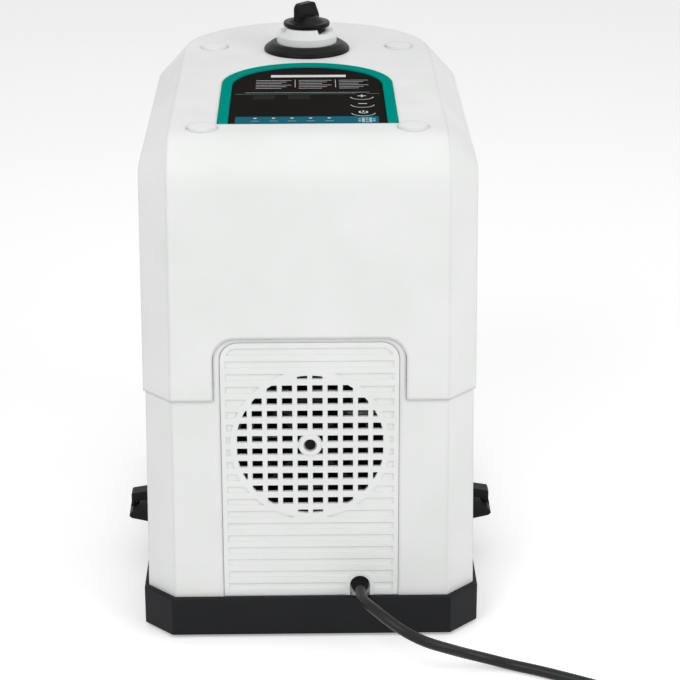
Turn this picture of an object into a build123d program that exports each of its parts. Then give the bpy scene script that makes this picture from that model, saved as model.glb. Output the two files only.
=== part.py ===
"""Oxygen concentrator: moulded casing, air compressor, sieve beds, fan, controls and mains lead.

Frame: +Z up, the fan grille and the mains lead face -Y, the bowed end faces +Y. The origin is on the
surface that the rubber feet stand on, at the middle of the base tray. Every length is in millimetres.
"""
from build123d import *
from math import asin, cos, radians, sin, sqrt, tan
import os

os.makedirs("parts", exist_ok=True)

# ---------------------------------------------------------------- overall
OVERALL_DEPTH = 446.0
BASE_HALF_WIDTH = 134.5
TOP_HEIGHT = 409.0
TRAY_TOP = 35.0
STEP_HEIGHT = 203.0          # lower edge of the hood
FOOT_STAND = 3.0
FRONT = -OVERALL_DEPTH / 2
BOW_CENTRE = OVERALL_DEPTH / 2 - BASE_HALF_WIDTH

# ---------------------------------------------------------------- casing
WALL = 3.0
FIT_GAP = 0.3                # between pieces that slip over or move past each other
LEDGE_SIDE = 3.3             # tray rim stands this far outside the lower housing
LEDGE_FRONT = 4.5
CORNER = 22.5                # flat cut across each upright corner
TRAY_CORNER = 23.0
LOWER_DRAFT = 0.86           # degrees
HOOD_DRAFT = 0.57
NEST = 8.0                   # lower housing sits this deep in the tray
TRAY_FLOOR = 3.0
SKIRT_STEP = 2.1             # hood stands proud of the lower housing
LAP = 10.0                   # lower housing reaches this far up inside the hood
SHOULDER_RADIUS = 38.0
FACET_RISE = 25.0            # height of the slanted strip round the hood's top
NEST_Z = TRAY_TOP - NEST
BODY_HALF = BASE_HALF_WIDTH - LEDGE_SIDE
BODY_FRONT = FRONT + LEDGE_FRONT
LOWER_LEAN = (STEP_HEIGHT - NEST_Z) * tan(radians(LOWER_DRAFT))
HOOD_HALF = BODY_HALF - LOWER_LEAN + SKIRT_STEP
HOOD_FRONT = BODY_FRONT + LOWER_LEAN - SKIRT_STEP
TRAY_INSIDE = FOOT_STAND + TRAY_FLOOR

# ---------------------------------------------------------------- feet
FOOT_RADIUS = 11.0
FOOT_STUD_RADIUS = 4.0
FOOT_INSET = 32.0

# ---------------------------------------------------------------- grille panel and fan
GRILLE_HEIGHT = 165.3        # centre of the round grille above the floor
GRILLE_RADIUS = 58.0
HOLE_WIDTH = 8.0
HOLE_HEIGHT = 5.5
COLUMN_PITCH = 11.8
ROW_PITCH = 10.5
COLUMNS = 10
ROWS = 12
PANEL_HALF = 69.3
PANEL_TOP = 250.3
PANEL_CORNER = 14.0
PANEL_THICK = 3.0
PANEL_GAP = 0.3
TONGUE_RIM = 5.0             # strip of lower housing left round the panel
TONGUE_TOP_RIM = 3.6
BAND_HEIGHT = 5.2
BAND_DEPTH = 1.0
BAND_HALF = 65.3
BAND_FIRST = 43.6            # middle of the lowest band
BAND_MARGIN = 4.5            # plain ring round the grille
BACKING = 3.0                # wall behind the panel
BOSS_RADIUS = 8.5
BOSS_PROUD = 1.0
BOSS_WELL_RADIUS = 5.2
BOSS_WELL_DEPTH = 2.0
SCREW_RADIUS = 1.75
FAN_SIZE = 119.0
FAN_DEPTH = 25.0
FAN_BORE = 57.5
FAN_HOLE_SPACING = 105.0
FAN_HUB = 20.0
FAN_BLADES = 7
FAN_PIN = 2.5
RUNNING_GAP = 0.05

# ---------------------------------------------------------------- mains lead
LEAD_RADIUS = 4.25
NOTCH_X = 39.0
NOTCH_HALF = 7.9
NOTCH_TOP = 52.3
NOTCH_RIM = 3.0
GLAND_HEIGHT = NOTCH_TOP - NOTCH_HALF
GLAND_RADIUS = 6.9
GLAND_NOSE = 8.0
GLAND_INSIDE = 18.0
GLAND_END_RADIUS = 5.2
COIL_CENTRE = (262.0, -396.0)
PLUG_RADIUS = 18.5           # the plug lies on the floor
PLUG_BODY = 16.0
PLUG_NECK = 34.0
PIN_RADIUS = 2.4
PIN_LENGTH = 19.0
PIN_SPACING = 19.0

# ---------------------------------------------------------------- control panel on the hood
PANEL_NEAR = -160.5          # near edge of the control panel
BEZEL_HALF = 69.7
BEZEL_ARCH_Y = -34.5
OVERLAY_HALF = 61.3
OVERLAY_ARCH_Y = -39.0
BEZEL_THICK = 2.5
BEZEL_PROUD = 0.3
OVERLAY_DROP = 1.2           # overlay lies below the bezel's face
OVERLAY_THICK = 1.3
BUTTON_RADIUS = 8.9
BUTTON_X = 43.5
BUTTON_Y = {"plus_button": -76.0, "minus_button": -100.5, "power_button": -126.0}
BUTTON_PROUD = 0.6
BUTTON_TRAVEL = 0.8
BUTTON_FLANGE = 1.5
LIGHT_X = (-40.7, -26.5, -12.1, 2.3, 16.6)
LIGHT_Y = -141.0
LIGHT_RADIUS = 1.3
WINDOW_SIZE = (17.5, 13.0)
WINDOW_CENTRES = ((-34.8, -76.5), (-6.8, -76.5))
STRIP_SIZE = (111.0, 19.0)
STRIP_CENTRE = (-0.6, -146.0)
INLAY_DEPTH = 0.6
SWITCH_HEIGHT = 2.3
BOARD_THICK = 1.6
BOARD_DROP = 9.4             # board's upper face below the hood's top
BOARD_HALF = 66.0

# ---------------------------------------------------------------- screw caps and hood screws
CAP_X = 80.4
CAP_NEAR_Y = -171.5
CAP_FAR_Y = 95.0
CAP_RADIUS = 11.6
CAP_PROUD = 1.8
CAP_SEAT = 2.0
WELL_DROP = 23.0             # bottom of the screw wells below the hood's top
HEAD_RADIUS = 4.2
HEAD_HEIGHT = 3.0

# ---------------------------------------------------------------- port on the hood
PORT_Y = 85.5
COLLAR_RADIUS = 37.0
COLLAR_RISE = 7.5
COLLAR_SPIGOT = 29.0
RING_RADIUS = 26.0
RING_SEAT = 3.0
RING_WALL_TOP = 13.2         # top of the ring's upright wall, below its cone
RING_TOP = 20.6
RING_TOP_RADIUS = 20.4
SLOT_FLOOR = 17.0            # the knob's tooth runs in a slot above this
KNOB_TURN = 80.0             # degrees
TOOTH_ANGLE = -55.0
TOOTH_HALF_ANGLE = 6.0
TOOTH_SLACK = 2.0            # degrees between the tooth and either end of its slot
STEM_RADIUS = 16.0
STEM_BOTTOM = -9.0
STEM_PIN = 5.0
STEM_BORE = STEM_RADIUS + 0.5
RING_BORE = STEM_BORE + 0.1
SEAL_HEIGHT = -4.0
SEAL_THICK = 0.9             # radius of the seal's section
SEAL_SEAT = 14.4
DISC_RADIUS = 20.0
DISC_BOTTOM = 21.0
DISC_TOP = 25.0
BLADE_TOP = 41.5
BLADE_LENGTH = 27.0
BLADE_THICK = 6.0
BLADE_ANGLE = 50.0

# ---------------------------------------------------------------- side latches
LATCH_NEAR = -82.0
LATCH_LENGTH = 28.0
LEVER_SETBACK = 12.0         # the lever starts this far behind the bracket's near face
LEVER_LENGTH = 13.0
LATCH_BOTTOM = 35.6
LATCH_SPLIT = 46.3           # top of the bracket
LEVER_TOP = 61.0
BRACKET_REACH = 24.0         # how far the bracket stands out of the lower housing
LEVER_REACH = 22.8
LEVER_EASE = 1.3             # slope under the lever's outer wall, so it swings past the bracket
LEVER_ROOF = 6.5             # top plate over the finger slot, at its outer end
BRACKET_EASE = 3.0           # slope off the bracket's top corner, so the lever swings past it
LATCH_PIN = 1.5
KNUCKLE_LENGTH = 7.0
SLOT_HEIGHT = 4.4
LATCH_SCREW_INSET = 5.0
LEVER_MIDDLE = LATCH_NEAR + LEVER_SETBACK + LEVER_LENGTH / 2

# ---------------------------------------------------------------- filter door in the bowed end
DOOR_HALF = 56.0
DOOR_BOTTOM = 58.0
DOOR_TOP = 182.0
DOOR_THICK = 3.6
FOAM_THICK = 6.0
DOOR_BACKING = 2.4
DOOR_LIP = 8.0

# ---------------------------------------------------------------- inside
GAUGE = 2.0                  # sheet steel
UPRIGHT_X = 110.0
UPRIGHT_NEAR = -184.0
UPRIGHT_FAR = 108.0
TAB_DEPTH = 26.0
PLATE_HEIGHT = 20.0
PLATE_HALF = 96.0
PLATE_NEAR = -80.0
PLATE_FAR = 98.0
MOUNT_X = 82.0
MOUNT_NEAR = -62.0
MOUNT_FAR = 84.0
SHAFT_HEIGHT = 77.0
SHAFT_Y = 20.0
SHAFT_RADIUS = 6.0
STATOR_RADIUS = 46.0
STATOR_HALF = 42.0
ROTOR_RADIUS = 29.5
CRANK_X = 60.0
CRANK_HALF = 18.0
CRANK_BORE = 26.0
CRANK_THROW = 6.0
CASE_TOP = 126.0
BARREL_RADIUS = 26.0
BARREL_TOP = 146.0
HEAD_TOP = 164.0
BED_X = 58.0
BED_Y = 140.0
BED_RADIUS = 30.0
BED_TOP = 250.0
CAP_HEIGHT = 20.0
MANIFOLD_TOP = 268.0
TANK_RADIUS = 22.0
TANK_Y = 150.0
TANK_TOP = 200.0
HOSE_RADIUS = 5.0
BARB_RADIUS = 4.0
BARB_LENGTH = 8.0
COOLER_Y = -138.0
COOLER_TUBE = 4.0
COOLER_HALF = 46.0
COOLER_BOTTOM = 120.0
COOLER_PITCH = 20.0
COOLER_PASSES = 6


# ================================================================ helpers
def block(x0, x1, y0, y1, z0, z1):
    """A box given by its two corners."""
    return Pos((x0 + x1) / 2, (y0 + y1) / 2, (z0 + z1) / 2) * Box(x1 - x0, y1 - y0, z1 - z0)


def rod(radius, z0, z1, x=0.0, y=0.0):
    """An upright cylinder between two heights."""
    return Pos(x, y, (z0 + z1) / 2) * Cylinder(radius, z1 - z0)


def rod_x(radius, x0, x1, y, z):
    """A cylinder along X."""
    return Pos((x0 + x1) / 2, y, z) * Rot(0, 90, 0) * Cylinder(radius, x1 - x0)


def rod_y(radius, y0, y1, x, z):
    """A cylinder along Y."""
    return Pos(x, (y0 + y1) / 2, z) * Rot(90, 0, 0) * Cylinder(radius, y1 - y0)


def group(solids):
    """Separate solids kept together in one node."""
    return Compound(children=[s for item in solids for s in item.solids()])


def mirrored(shape):
    """The same shape on the other side of the object."""
    return mirror(shape, about=Plane.YZ)


def pipe(points, radius, bend):
    """A round tube along straight runs joined by arcs."""
    path = FilletPolyline(*points, radius=bend) if len(points) > 2 else Line(*points)
    start = Plane(origin=points[0], z_dir=Vector(*points[1]) - Vector(*points[0]))
    return sweep(start * Circle(radius), path=path)


def plan(half_width, front, corner, corner_depth):
    """The casing seen from above: flat front, cut corners, straight sides and a half-round far end."""
    left = [(-half_width, BOW_CENTRE)]
    if corner:
        left += [(-half_width, front + corner_depth), (-half_width + corner, front)]
    else:
        left += [(-half_width, front)]
    right = [(-x, y) for x, y in reversed(left)]
    sides = Polyline(*left, *right)
    bow = ThreePointArc(right[-1], (0, BOW_CENTRE + half_width), left[0])
    return make_face(sides.edges() + bow.edges())


def prism(half_width, front, corner, z0, z1, draft=0.0, corner_depth=None):
    """The plan carried up with an inward draft."""
    face = plan(half_width, front, corner, corner if corner_depth is None else corner_depth)
    return extrude(Pos(0, 0, z0) * face, amount=z1 - z0, taper=draft)


def hood_form(inset):
    """The hood's outer form, or its inner form when inset is the wall thickness."""
    lower = STEP_HEIGHT - (5.0 if inset else 0.0)
    grow = (STEP_HEIGHT - lower) * tan(radians(HOOD_DRAFT))
    top = TOP_HEIGHT - inset
    form = prism(HOOD_HALF - inset + grow, HOOD_FRONT + inset - grow, 0, lower, top, HOOD_DRAFT)
    front_edge = form.edges().filter_by(Axis.X).sort_by(Axis.Z)[-1]
    form = fillet(front_edge, SHOULDER_RADIUS - inset)
    side = form.faces().filter_by(lambda f: f.normal_at().X > 0.9)[0]
    corner_edges = [e for e in side.edges() if abs(e.tangent_at(0.5).Z) > 0.9 and e.center().Y < FRONT / 2]
    trim = inset * (2 - sqrt(2))
    return chamfer(corner_edges, FACET_RISE - trim, CORNER - trim, reference=side)


def arch(half_width, near, arch_y):
    """A tombstone outline: straight near edge and sides, half-round far end."""
    return Pos(0, (near + arch_y) / 2) * Rectangle(2 * half_width, arch_y - near) + Pos(0, arch_y) * Circle(half_width)


def upright_tombstone(half_width, bottom, top, corner):
    """A rectangle with its two upper corners rounded, in the plane of the front wall."""
    face = Pos(0, (bottom + top) / 2) * Rectangle(2 * half_width, top - bottom)
    upper = face.vertices().filter_by(lambda v: v.Y > (bottom + top) / 2)
    return fillet(upper, corner)


# The front wall leans back by the draft. Its own frame has X across, Y up the wall and Z outwards, with
# its origin in the wall's outer face at the middle of the grille.
GRILLE_Y = BODY_FRONT + (GRILLE_HEIGHT - NEST_Z) * tan(radians(LOWER_DRAFT))
FRONT_WALL = Plane(
    origin=(0, GRILLE_Y, GRILLE_HEIGHT),
    x_dir=(1, 0, 0),
    z_dir=(0, -cos(radians(LOWER_DRAFT)), sin(radians(LOWER_DRAFT))),
)


def up_wall(height):
    """A height above the floor as a place along the front wall."""
    return (height - GRILLE_HEIGHT) / cos(radians(LOWER_DRAFT))


def in_wall(face, outer, inner):
    """A face drawn on the front wall, made solid between two depths: 0 is the wall's outer face."""
    return FRONT_WALL.location * extrude(Pos(0, 0, inner) * face, amount=outer - inner)


def foot_places():
    """Where the rubber feet and their holes are."""
    near = FRONT + FOOT_INSET
    far_x = (BASE_HALF_WIDTH - FOOT_INSET) * 0.75
    far_y = BOW_CENTRE + sqrt((BASE_HALF_WIDTH - FOOT_INSET) ** 2 - far_x**2)
    near_x = BASE_HALF_WIDTH - FOOT_INSET
    return [(-near_x, near), (near_x, near), (-far_x, far_y), (far_x, far_y)]


def cap_places():
    """Where the hood screws and their caps are."""
    return [(s * CAP_X, y) for y in (CAP_NEAR_Y, CAP_FAR_Y) for s in (-1, 1)]


def board_posts():
    """Where the control board hangs."""
    return [(s * (BOARD_HALF - 4.5), y) for s in (-1, 1) for y in (PANEL_NEAR + 12.5, BEZEL_ARCH_Y + 12.5)]


# ================================================================ casing
def base_tray():
    tray = prism(BASE_HALF_WIDTH, FRONT, TRAY_CORNER, FOOT_STAND, TRAY_TOP)
    outer = tray.edges().filter_by(lambda e: abs(e.center().Z - TRAY_TOP) < 0.01)
    tray = fillet(outer, 1.0)
    nest = prism(BODY_HALF + FIT_GAP, BODY_FRONT - FIT_GAP, CORNER, NEST_Z, TRAY_TOP + 1)
    cavity = prism(BODY_HALF - 2 * WALL, BODY_FRONT + 2 * WALL, CORNER, TRAY_INSIDE, NEST_Z + 1)
    tray = tray - nest - cavity
    for x, y in foot_places():
        tray -= rod(FOOT_STUD_RADIUS + RUNNING_GAP, 0, TRAY_INSIDE + 1, x, y)
    return tray


def rubber_feet():
    feet = []
    for x, y in foot_places():
        pad = fillet(rod(FOOT_RADIUS, 0, FOOT_STAND, x, y).edges().sort_by(Axis.Z)[:1], 0.8)
        feet.append(pad + rod(FOOT_STUD_RADIUS, FOOT_STAND, TRAY_INSIDE, x, y))
    return group(feet)


def lower_housing():
    outer = prism(BODY_HALF, BODY_FRONT, CORNER, NEST_Z, STEP_HEIGHT, LOWER_DRAFT)
    lap_half = HOOD_HALF - WALL - FIT_GAP
    lap_front = HOOD_FRONT + WALL + FIT_GAP
    trim = WALL * (2 - sqrt(2))
    outer += prism(lap_half, lap_front, CORNER - trim, STEP_HEIGHT, STEP_HEIGHT + LAP, HOOD_DRAFT, FACET_RISE - trim)
    tongue = upright_tombstone(
        PANEL_HALF + PANEL_GAP + TONGUE_RIM, up_wall(STEP_HEIGHT - 2), up_wall(PANEL_TOP + TONGUE_TOP_RIM), PANEL_CORNER + 3
    )
    outer += in_wall(tongue, 0, -PANEL_THICK - BACKING)
    inside = prism(BODY_HALF - WALL, BODY_FRONT + WALL, CORNER - trim, NEST_Z - 1, STEP_HEIGHT + LAP + 1, LOWER_DRAFT)
    pad = Pos(0, (up_wall(NEST_Z) + up_wall(PANEL_TOP)) / 2) * Rectangle(
        2 * PANEL_HALF + 6, up_wall(PANEL_TOP) - up_wall(NEST_Z))
    inside -= in_wall(pad, 1, -PANEL_THICK - BACKING)
    inside -= door_zone(DOOR_HALF + DOOR_LIP, DOOR_BOTTOM - DOOR_LIP, DOOR_TOP + DOOR_LIP, 0,
                        DOOR_THICK + FOAM_THICK + DOOR_BACKING)
    shell = outer - inside
    seat = upright_tombstone(PANEL_HALF + PANEL_GAP, up_wall(TRAY_TOP - 1), up_wall(PANEL_TOP + PANEL_GAP), PANEL_CORNER)
    shell -= in_wall(seat, 1, -PANEL_THICK)
    shell -= in_wall(Circle(GRILLE_RADIUS + 2), 1, -20)
    shell -= in_wall(Pos(NOTCH_X, up_wall(GLAND_HEIGHT)) * Circle(GLAND_RADIUS + FIT_GAP), 1, -20)
    for x, z in fan_corners():
        shell -= in_wall(Pos(x, z) * Circle(SCREW_RADIUS + FIT_GAP), 1, -20)
    shell -= door_zone(DOOR_HALF + 0.5, DOOR_BOTTOM - 0.5, DOOR_TOP + 0.5, -1, DOOR_THICK)
    shell -= door_zone(DOOR_HALF - 7, DOOR_BOTTOM + 7, DOOR_TOP - 7, DOOR_THICK - 1, DOOR_THICK + FOAM_THICK)
    slots = [block(x - 4, x + 4, BOW_CENTRE, 300, DOOR_BOTTOM + 14, DOOR_TOP - 14) for x in range(-36, 37, 12)]
    for slot in slots:
        shell -= slot & door_zone(DOOR_HALF, DOOR_BOTTOM, DOOR_TOP, DOOR_THICK, DOOR_THICK + FOAM_THICK + DOOR_BACKING + 1)
    for side in (-1, 1):
        for y in latch_screws():
            shell -= rod_x(SCREW_RADIUS, *sorted((side * (BODY_HALF - 10), side * (BODY_HALF + 1))), y, LATCH_BOTTOM + 7)
    return shell


def door_zone(half, bottom, top, depth0, depth1):
    """The part of the bowed wall between two depths, within a width and two heights."""
    outer = prism(BODY_HALF - depth0, BODY_FRONT + depth0, CORNER, NEST_Z, STEP_HEIGHT, LOWER_DRAFT)
    inner = prism(BODY_HALF - depth1, BODY_FRONT + depth1, CORNER, NEST_Z, STEP_HEIGHT, LOWER_DRAFT)
    return (outer - inner) & block(-half, half, BOW_CENTRE, BOW_CENTRE + 2 * BASE_HALF_WIDTH, bottom, top)


def hood():
    shell = hood_form(0.0) - hood_form(WALL)
    notch = upright_tombstone(
        PANEL_HALF + PANEL_GAP + TONGUE_RIM + FIT_GAP, up_wall(STEP_HEIGHT - 10),
        up_wall(PANEL_TOP + TONGUE_TOP_RIM + FIT_GAP), PANEL_CORNER + 3 + FIT_GAP
    )
    shell -= in_wall(notch, 10, -20)
    recess_floor = TOP_HEIGHT + BEZEL_PROUD - BEZEL_THICK
    rib = extrude(Pos(0, 0, recess_floor - 2.5) * arch(BEZEL_HALF + 4, PANEL_NEAR - 4, BEZEL_ARCH_Y),
                  amount=TOP_HEIGHT - WALL - recess_floor + 2.6)
    shell += rib
    shell -= extrude(Pos(0, 0, recess_floor) * arch(BEZEL_HALF + 0.2, PANEL_NEAR - 0.2, BEZEL_ARCH_Y), amount=5)
    shell -= block(-50, BUTTON_X + BUTTON_RADIUS + BUTTON_FLANGE + 1, PANEL_NEAR + 8, BEZEL_ARCH_Y + 10,
                   recess_floor - 5, TOP_HEIGHT)
    for x, y in board_posts():
        post = rod(3.5, TOP_HEIGHT - BOARD_DROP, recess_floor - 2.4, x, y)
        shell += post - rod(1.3, TOP_HEIGHT - BOARD_DROP - 1, recess_floor - 4, x, y)
    for x, y in cap_places():
        shell += rod(8.0, TOP_HEIGHT - WELL_DROP, TOP_HEIGHT - WALL + 0.1, x, y)
        shell -= rod(CAP_RADIUS + 0.2, TOP_HEIGHT - CAP_SEAT, TOP_HEIGHT + 5, x, y)
        shell -= rod(HEAD_RADIUS + 0.8, TOP_HEIGHT - WELL_DROP + 4, TOP_HEIGHT, x, y)
        shell -= rod(2.3, TOP_HEIGHT - WELL_DROP - 1, TOP_HEIGHT, x, y)
    shell -= rod(COLLAR_SPIGOT + FIT_GAP, TOP_HEIGHT - 10, TOP_HEIGHT + 5, 0, PORT_Y)
    return shell


def screw_caps():
    caps = []
    for x, y in cap_places():
        cap = rod(CAP_RADIUS, TOP_HEIGHT - CAP_SEAT, TOP_HEIGHT + CAP_PROUD, x, y)
        caps.append(fillet(cap.edges().sort_by(Axis.Z)[-1:], 0.7))
    return group(caps)


def hood_screws():
    seat = TOP_HEIGHT - WELL_DROP + 4
    screws = []
    for x, y in cap_places():
        head = rod(HEAD_RADIUS, seat, seat + HEAD_HEIGHT, x, y) - rod(1.6, seat + 1, seat + HEAD_HEIGHT + 1, x, y)
        screws.append(head + rod(1.95, seat - 14, seat, x, y))
    return group(screws)


# ================================================================ grille panel, guard and fan
def fan_corners():
    """The fan's four screw places on the front wall."""
    half = FAN_HOLE_SPACING / 2
    return [(sx * half, sz * half) for sx in (-1, 1) for sz in (-1, 1)]


def grille_holes():
    """Rows and columns of oblong holes, clipped by the round grille, clear of the middle boss."""
    columns = [(i - (COLUMNS - 1) / 2) * COLUMN_PITCH for i in range(COLUMNS)]
    rows = [(i - (ROWS - 1) / 2) * ROW_PITCH for i in range(ROWS)]
    cells = Sketch() + [Pos(x, z) * Rectangle(HOLE_WIDTH, HOLE_HEIGHT) for x in columns for z in rows]
    cells = (cells & Circle(GRILLE_RADIUS)) - Circle(BOSS_RADIUS + 0.8)
    return Sketch() + [f for f in cells.faces() if f.area > 6.0]


def notch_outline(grow):
    """The lead's notch: a round top and straight sides down to the panel's lower edge."""
    centre = up_wall(NOTCH_TOP - NOTCH_HALF)
    low = up_wall(TRAY_TOP - 2)
    legs = Pos(NOTCH_X, (centre + low) / 2) * Rectangle(2 * (NOTCH_HALF + grow), centre - low)
    return legs + Pos(NOTCH_X, centre) * Circle(NOTCH_HALF + grow)


def grille_panel():
    outline = upright_tombstone(PANEL_HALF, up_wall(TRAY_TOP + FIT_GAP), up_wall(PANEL_TOP), PANEL_CORNER)
    panel = in_wall(outline, 0, -PANEL_THICK)
    count = int((PANEL_TOP - 4 - BAND_FIRST) / ROW_PITCH) + 1
    inner = upright_tombstone(BAND_HALF, up_wall(TRAY_TOP + 4), up_wall(PANEL_TOP - 4), PANEL_CORNER - 4)
    bands = [Pos(0, up_wall(BAND_FIRST + i * ROW_PITCH)) * Rectangle(2 * BAND_HALF, BAND_HEIGHT) for i in range(count)]
    bands = (Sketch() + bands) & inner
    bands = bands - Circle(GRILLE_RADIUS + BAND_MARGIN) - notch_outline(NOTCH_RIM)
    panel -= in_wall(bands, 1, -BAND_DEPTH)
    rim = (notch_outline(NOTCH_RIM) - notch_outline(0)) & outline
    panel += in_wall(rim, 0.8, -1)
    panel -= in_wall(notch_outline(0), 2, -5)
    panel -= in_wall(grille_holes(), 1, -5)
    panel += in_wall(Circle(BOSS_RADIUS), BOSS_PROUD, -1)
    panel -= in_wall(Circle(BOSS_WELL_RADIUS), 2, -BOSS_WELL_DEPTH)
    panel -= in_wall(Circle(SCREW_RADIUS + FIT_GAP), 2, -5)
    return panel


def grille_screw():
    screw = in_wall(Circle(HEAD_RADIUS), -0.6, -BOSS_WELL_DEPTH)
    screw -= in_wall(Rectangle(5.4, 1.1) + Rectangle(1.1, 5.4), 0, -1.3)
    return screw + in_wall(Circle(SCREW_RADIUS), -BOSS_WELL_DEPTH, -PANEL_THICK - BACKING + 0.5)


def fan_guard():
    ring = Circle(GRILLE_RADIUS + 2 - 0.2) - Circle(GRILLE_RADIUS - 1)
    ribs = [Rot(0, 0, a) * Pos(GRILLE_RADIUS / 2, 0) * Rectangle(GRILLE_RADIUS + 1, 3.0) for a in (45, 135, 225, 315)]
    rings = Circle(38) - Circle(35.5)
    face = ring + ribs + rings + Circle(6) - Circle(SCREW_RADIUS + RUNNING_GAP)
    return in_wall(face, -PANEL_THICK, -PANEL_THICK - BACKING)


FAN_FACE = -PANEL_THICK - BACKING      # the fan's near face, as a depth in the front wall


def fan_frame():
    square = fillet(Rectangle(FAN_SIZE, FAN_SIZE).vertices(), 5)
    frame = in_wall(square - Circle(FAN_BORE), FAN_FACE, FAN_FACE - FAN_DEPTH)
    waist = square - fillet(Rectangle(FAN_SIZE - 8, FAN_SIZE - 8).vertices(), 5)
    corners = [Pos(x, z) * Circle(9) for x, z in fan_corners()]
    frame -= in_wall(waist - corners, FAN_FACE - 4, FAN_FACE - FAN_DEPTH + 4)
    for x, z in fan_corners():
        frame -= in_wall(Pos(x, z) * Circle(SCREW_RADIUS + FIT_GAP), 0, FAN_FACE - FAN_DEPTH - 1)
    struts = [Rot(0, 0, a) * Pos(FAN_BORE / 2 + 5, 0) * Rectangle(FAN_BORE - 8, 4) for a in (0, 90, 180, 270)]
    frame += in_wall(Circle(FAN_HUB) + struts, FAN_FACE - FAN_DEPTH + 3, FAN_FACE - FAN_DEPTH)
    return frame + in_wall(Circle(FAN_PIN), FAN_FACE - 8, FAN_FACE - FAN_DEPTH + 3)


def fan_rotor():
    near, far = FAN_FACE - 2.5, FAN_FACE - FAN_DEPTH + 4.5
    rotor = in_wall(Circle(FAN_HUB), near, far)
    span = FAN_BORE - 1.2 - FAN_HUB + 2
    blade = Pos(FAN_HUB - 2 + span / 2, 0, (near + far) / 2 - 0.5) * Rot(48, 0, 0) * Box(span, 19, 1.6)
    sweep_zone = extrude(Pos(0, 0, far + 1) * Circle(FAN_BORE - 1.2), amount=near - far - 2)
    blade = blade & sweep_zone
    for i in range(FAN_BLADES):
        rotor += FRONT_WALL.location * (Rot(0, 0, i * 360 / FAN_BLADES) * blade)
    return rotor - in_wall(Circle(FAN_PIN + RUNNING_GAP), FAN_FACE - 7.5, FAN_FACE - FAN_DEPTH)


def fan_screws():
    """Four long screws through the fan's corners."""
    end = FAN_FACE - FAN_DEPTH
    screws = []
    for x, z in fan_corners():
        head = in_wall(Pos(x, z) * Circle(3.6), end, end - 2.4)
        screws.append(head + in_wall(Pos(x, z) * Circle(SCREW_RADIUS), -PANEL_THICK - 0.2, end))
    return screws


# ================================================================ mains lead
GLAND_AXIS = FRONT_WALL.location * Pos(NOTCH_X, up_wall(GLAND_HEIGHT), 0)
LEAD_EXIT = (FRONT_WALL.location * Pos(NOTCH_X, up_wall(GLAND_HEIGHT), GLAND_NOSE)).position


def strain_relief():
    neck = extrude(Pos(0, 0, -GLAND_INSIDE) * Circle(GLAND_RADIUS), amount=GLAND_INSIDE + 0.8)
    flange = extrude(Pos(0, 0, FAN_FACE - 3) * Circle(10.5), amount=3)
    nose = loft([Pos(0, 0, 0.8) * Circle(GLAND_RADIUS), Pos(0, 0, GLAND_NOSE) * Circle(GLAND_END_RADIUS)])
    gland = neck + flange + nose
    for depth in (2.4, 4.2, 6.0):
        gland -= extrude(Pos(0, 0, depth) * (Circle(9) - Circle(5.2)), amount=0.8)
    return GLAND_AXIS * gland


# The lead's route: out of the gland, down to the floor and across it to where the coil's outer turn begins.
OUTER_TURN = 55.5
COIL_ENTRY = 63.8            # degrees round the coil
ENTRY_RUN = 25.6


def round_coil(radius, angle, height):
    """A place on a turn of the coil, and the way the lead runs there."""
    turn = radians(angle)
    place = (COIL_CENTRE[0] + radius * cos(turn), COIL_CENTRE[1] + radius * sin(turn), height)
    return Vector(*place), Vector(sin(turn), -cos(turn), 0)


COIL_START, START_WAY = round_coil(OUTER_TURN, COIL_ENTRY, LEAD_RADIUS)
LEAD_ROUTE = [
    tuple(LEAD_EXIT),
    tuple(LEAD_EXIT + FRONT_WALL.z_dir * 12.7),
    (42.0, -251.4, 45.9),
    (49.2, -265.1, 46.3),
    (59.6, -277.7, 43.2),
    (73.0, -286.6, 37.3),
    (88.5, -290.3, 30.7),
    (105.4, -288.1, 24.0),
    (120.7, -279.8, 14.8),
    (137.4, -276.5, 8.4),
    (155.7, -279.1, LEAD_RADIUS),
    (176.6, -288.8, LEAD_RADIUS),
    (203.2, -303.5, LEAD_RADIUS),
    (233.0, -321.3, LEAD_RADIUS),
    tuple(COIL_START - START_WAY * ENTRY_RUN),
    tuple(COIL_START),
]
# The short stretch from the coil's upper layer to the plug: level, up a slope, level again.
UPPER_LAYER = 3 * LEAD_RADIUS
TAIL_EXIT = 40.0
TAIL_RUN = 20.2
COIL_END, TAIL_WAY = round_coil(OUTER_TURN, TAIL_EXIT, UPPER_LAYER)
TAIL_SLOPE = asin((PLUG_RADIUS - UPPER_LAYER) / TAIL_RUN)
TAIL_ROUTE = [tuple(COIL_END), tuple(COIL_END + TAIL_WAY * TAIL_RUN)]
TAIL_ROUTE.append(tuple(Vector(*TAIL_ROUTE[1]) + TAIL_WAY * TAIL_RUN * cos(TAIL_SLOPE)
                        + Vector(0, 0, PLUG_RADIUS - UPPER_LAYER)))
TAIL_ROUTE.append(tuple(Vector(*TAIL_ROUTE[2]) + TAIL_WAY * TAIL_RUN))


def corner_radii(points, share=0.45):
    """The largest arc for each corner: a share of the shorter run over the tangent of half the turn."""
    radii = []
    for a, b, c in zip(points, points[1:], points[2:]):
        before = Vector(*b) - Vector(*a)
        after = Vector(*c) - Vector(*b)
        half_turn = radians(before.get_angle(after)) / 2
        radii.append(share * min(before.length, after.length) / tan(half_turn))
    return radii


def lead_along(route):
    """The lead's tube along straight runs joined by arcs."""
    path = FilletPolyline(*route, radius=corner_radii(route))
    start = Plane(origin=route[0], z_dir=Vector(*route[1]) - Vector(*route[0]))
    return sweep(start * Circle(LEAD_RADIUS), path=path)


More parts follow.
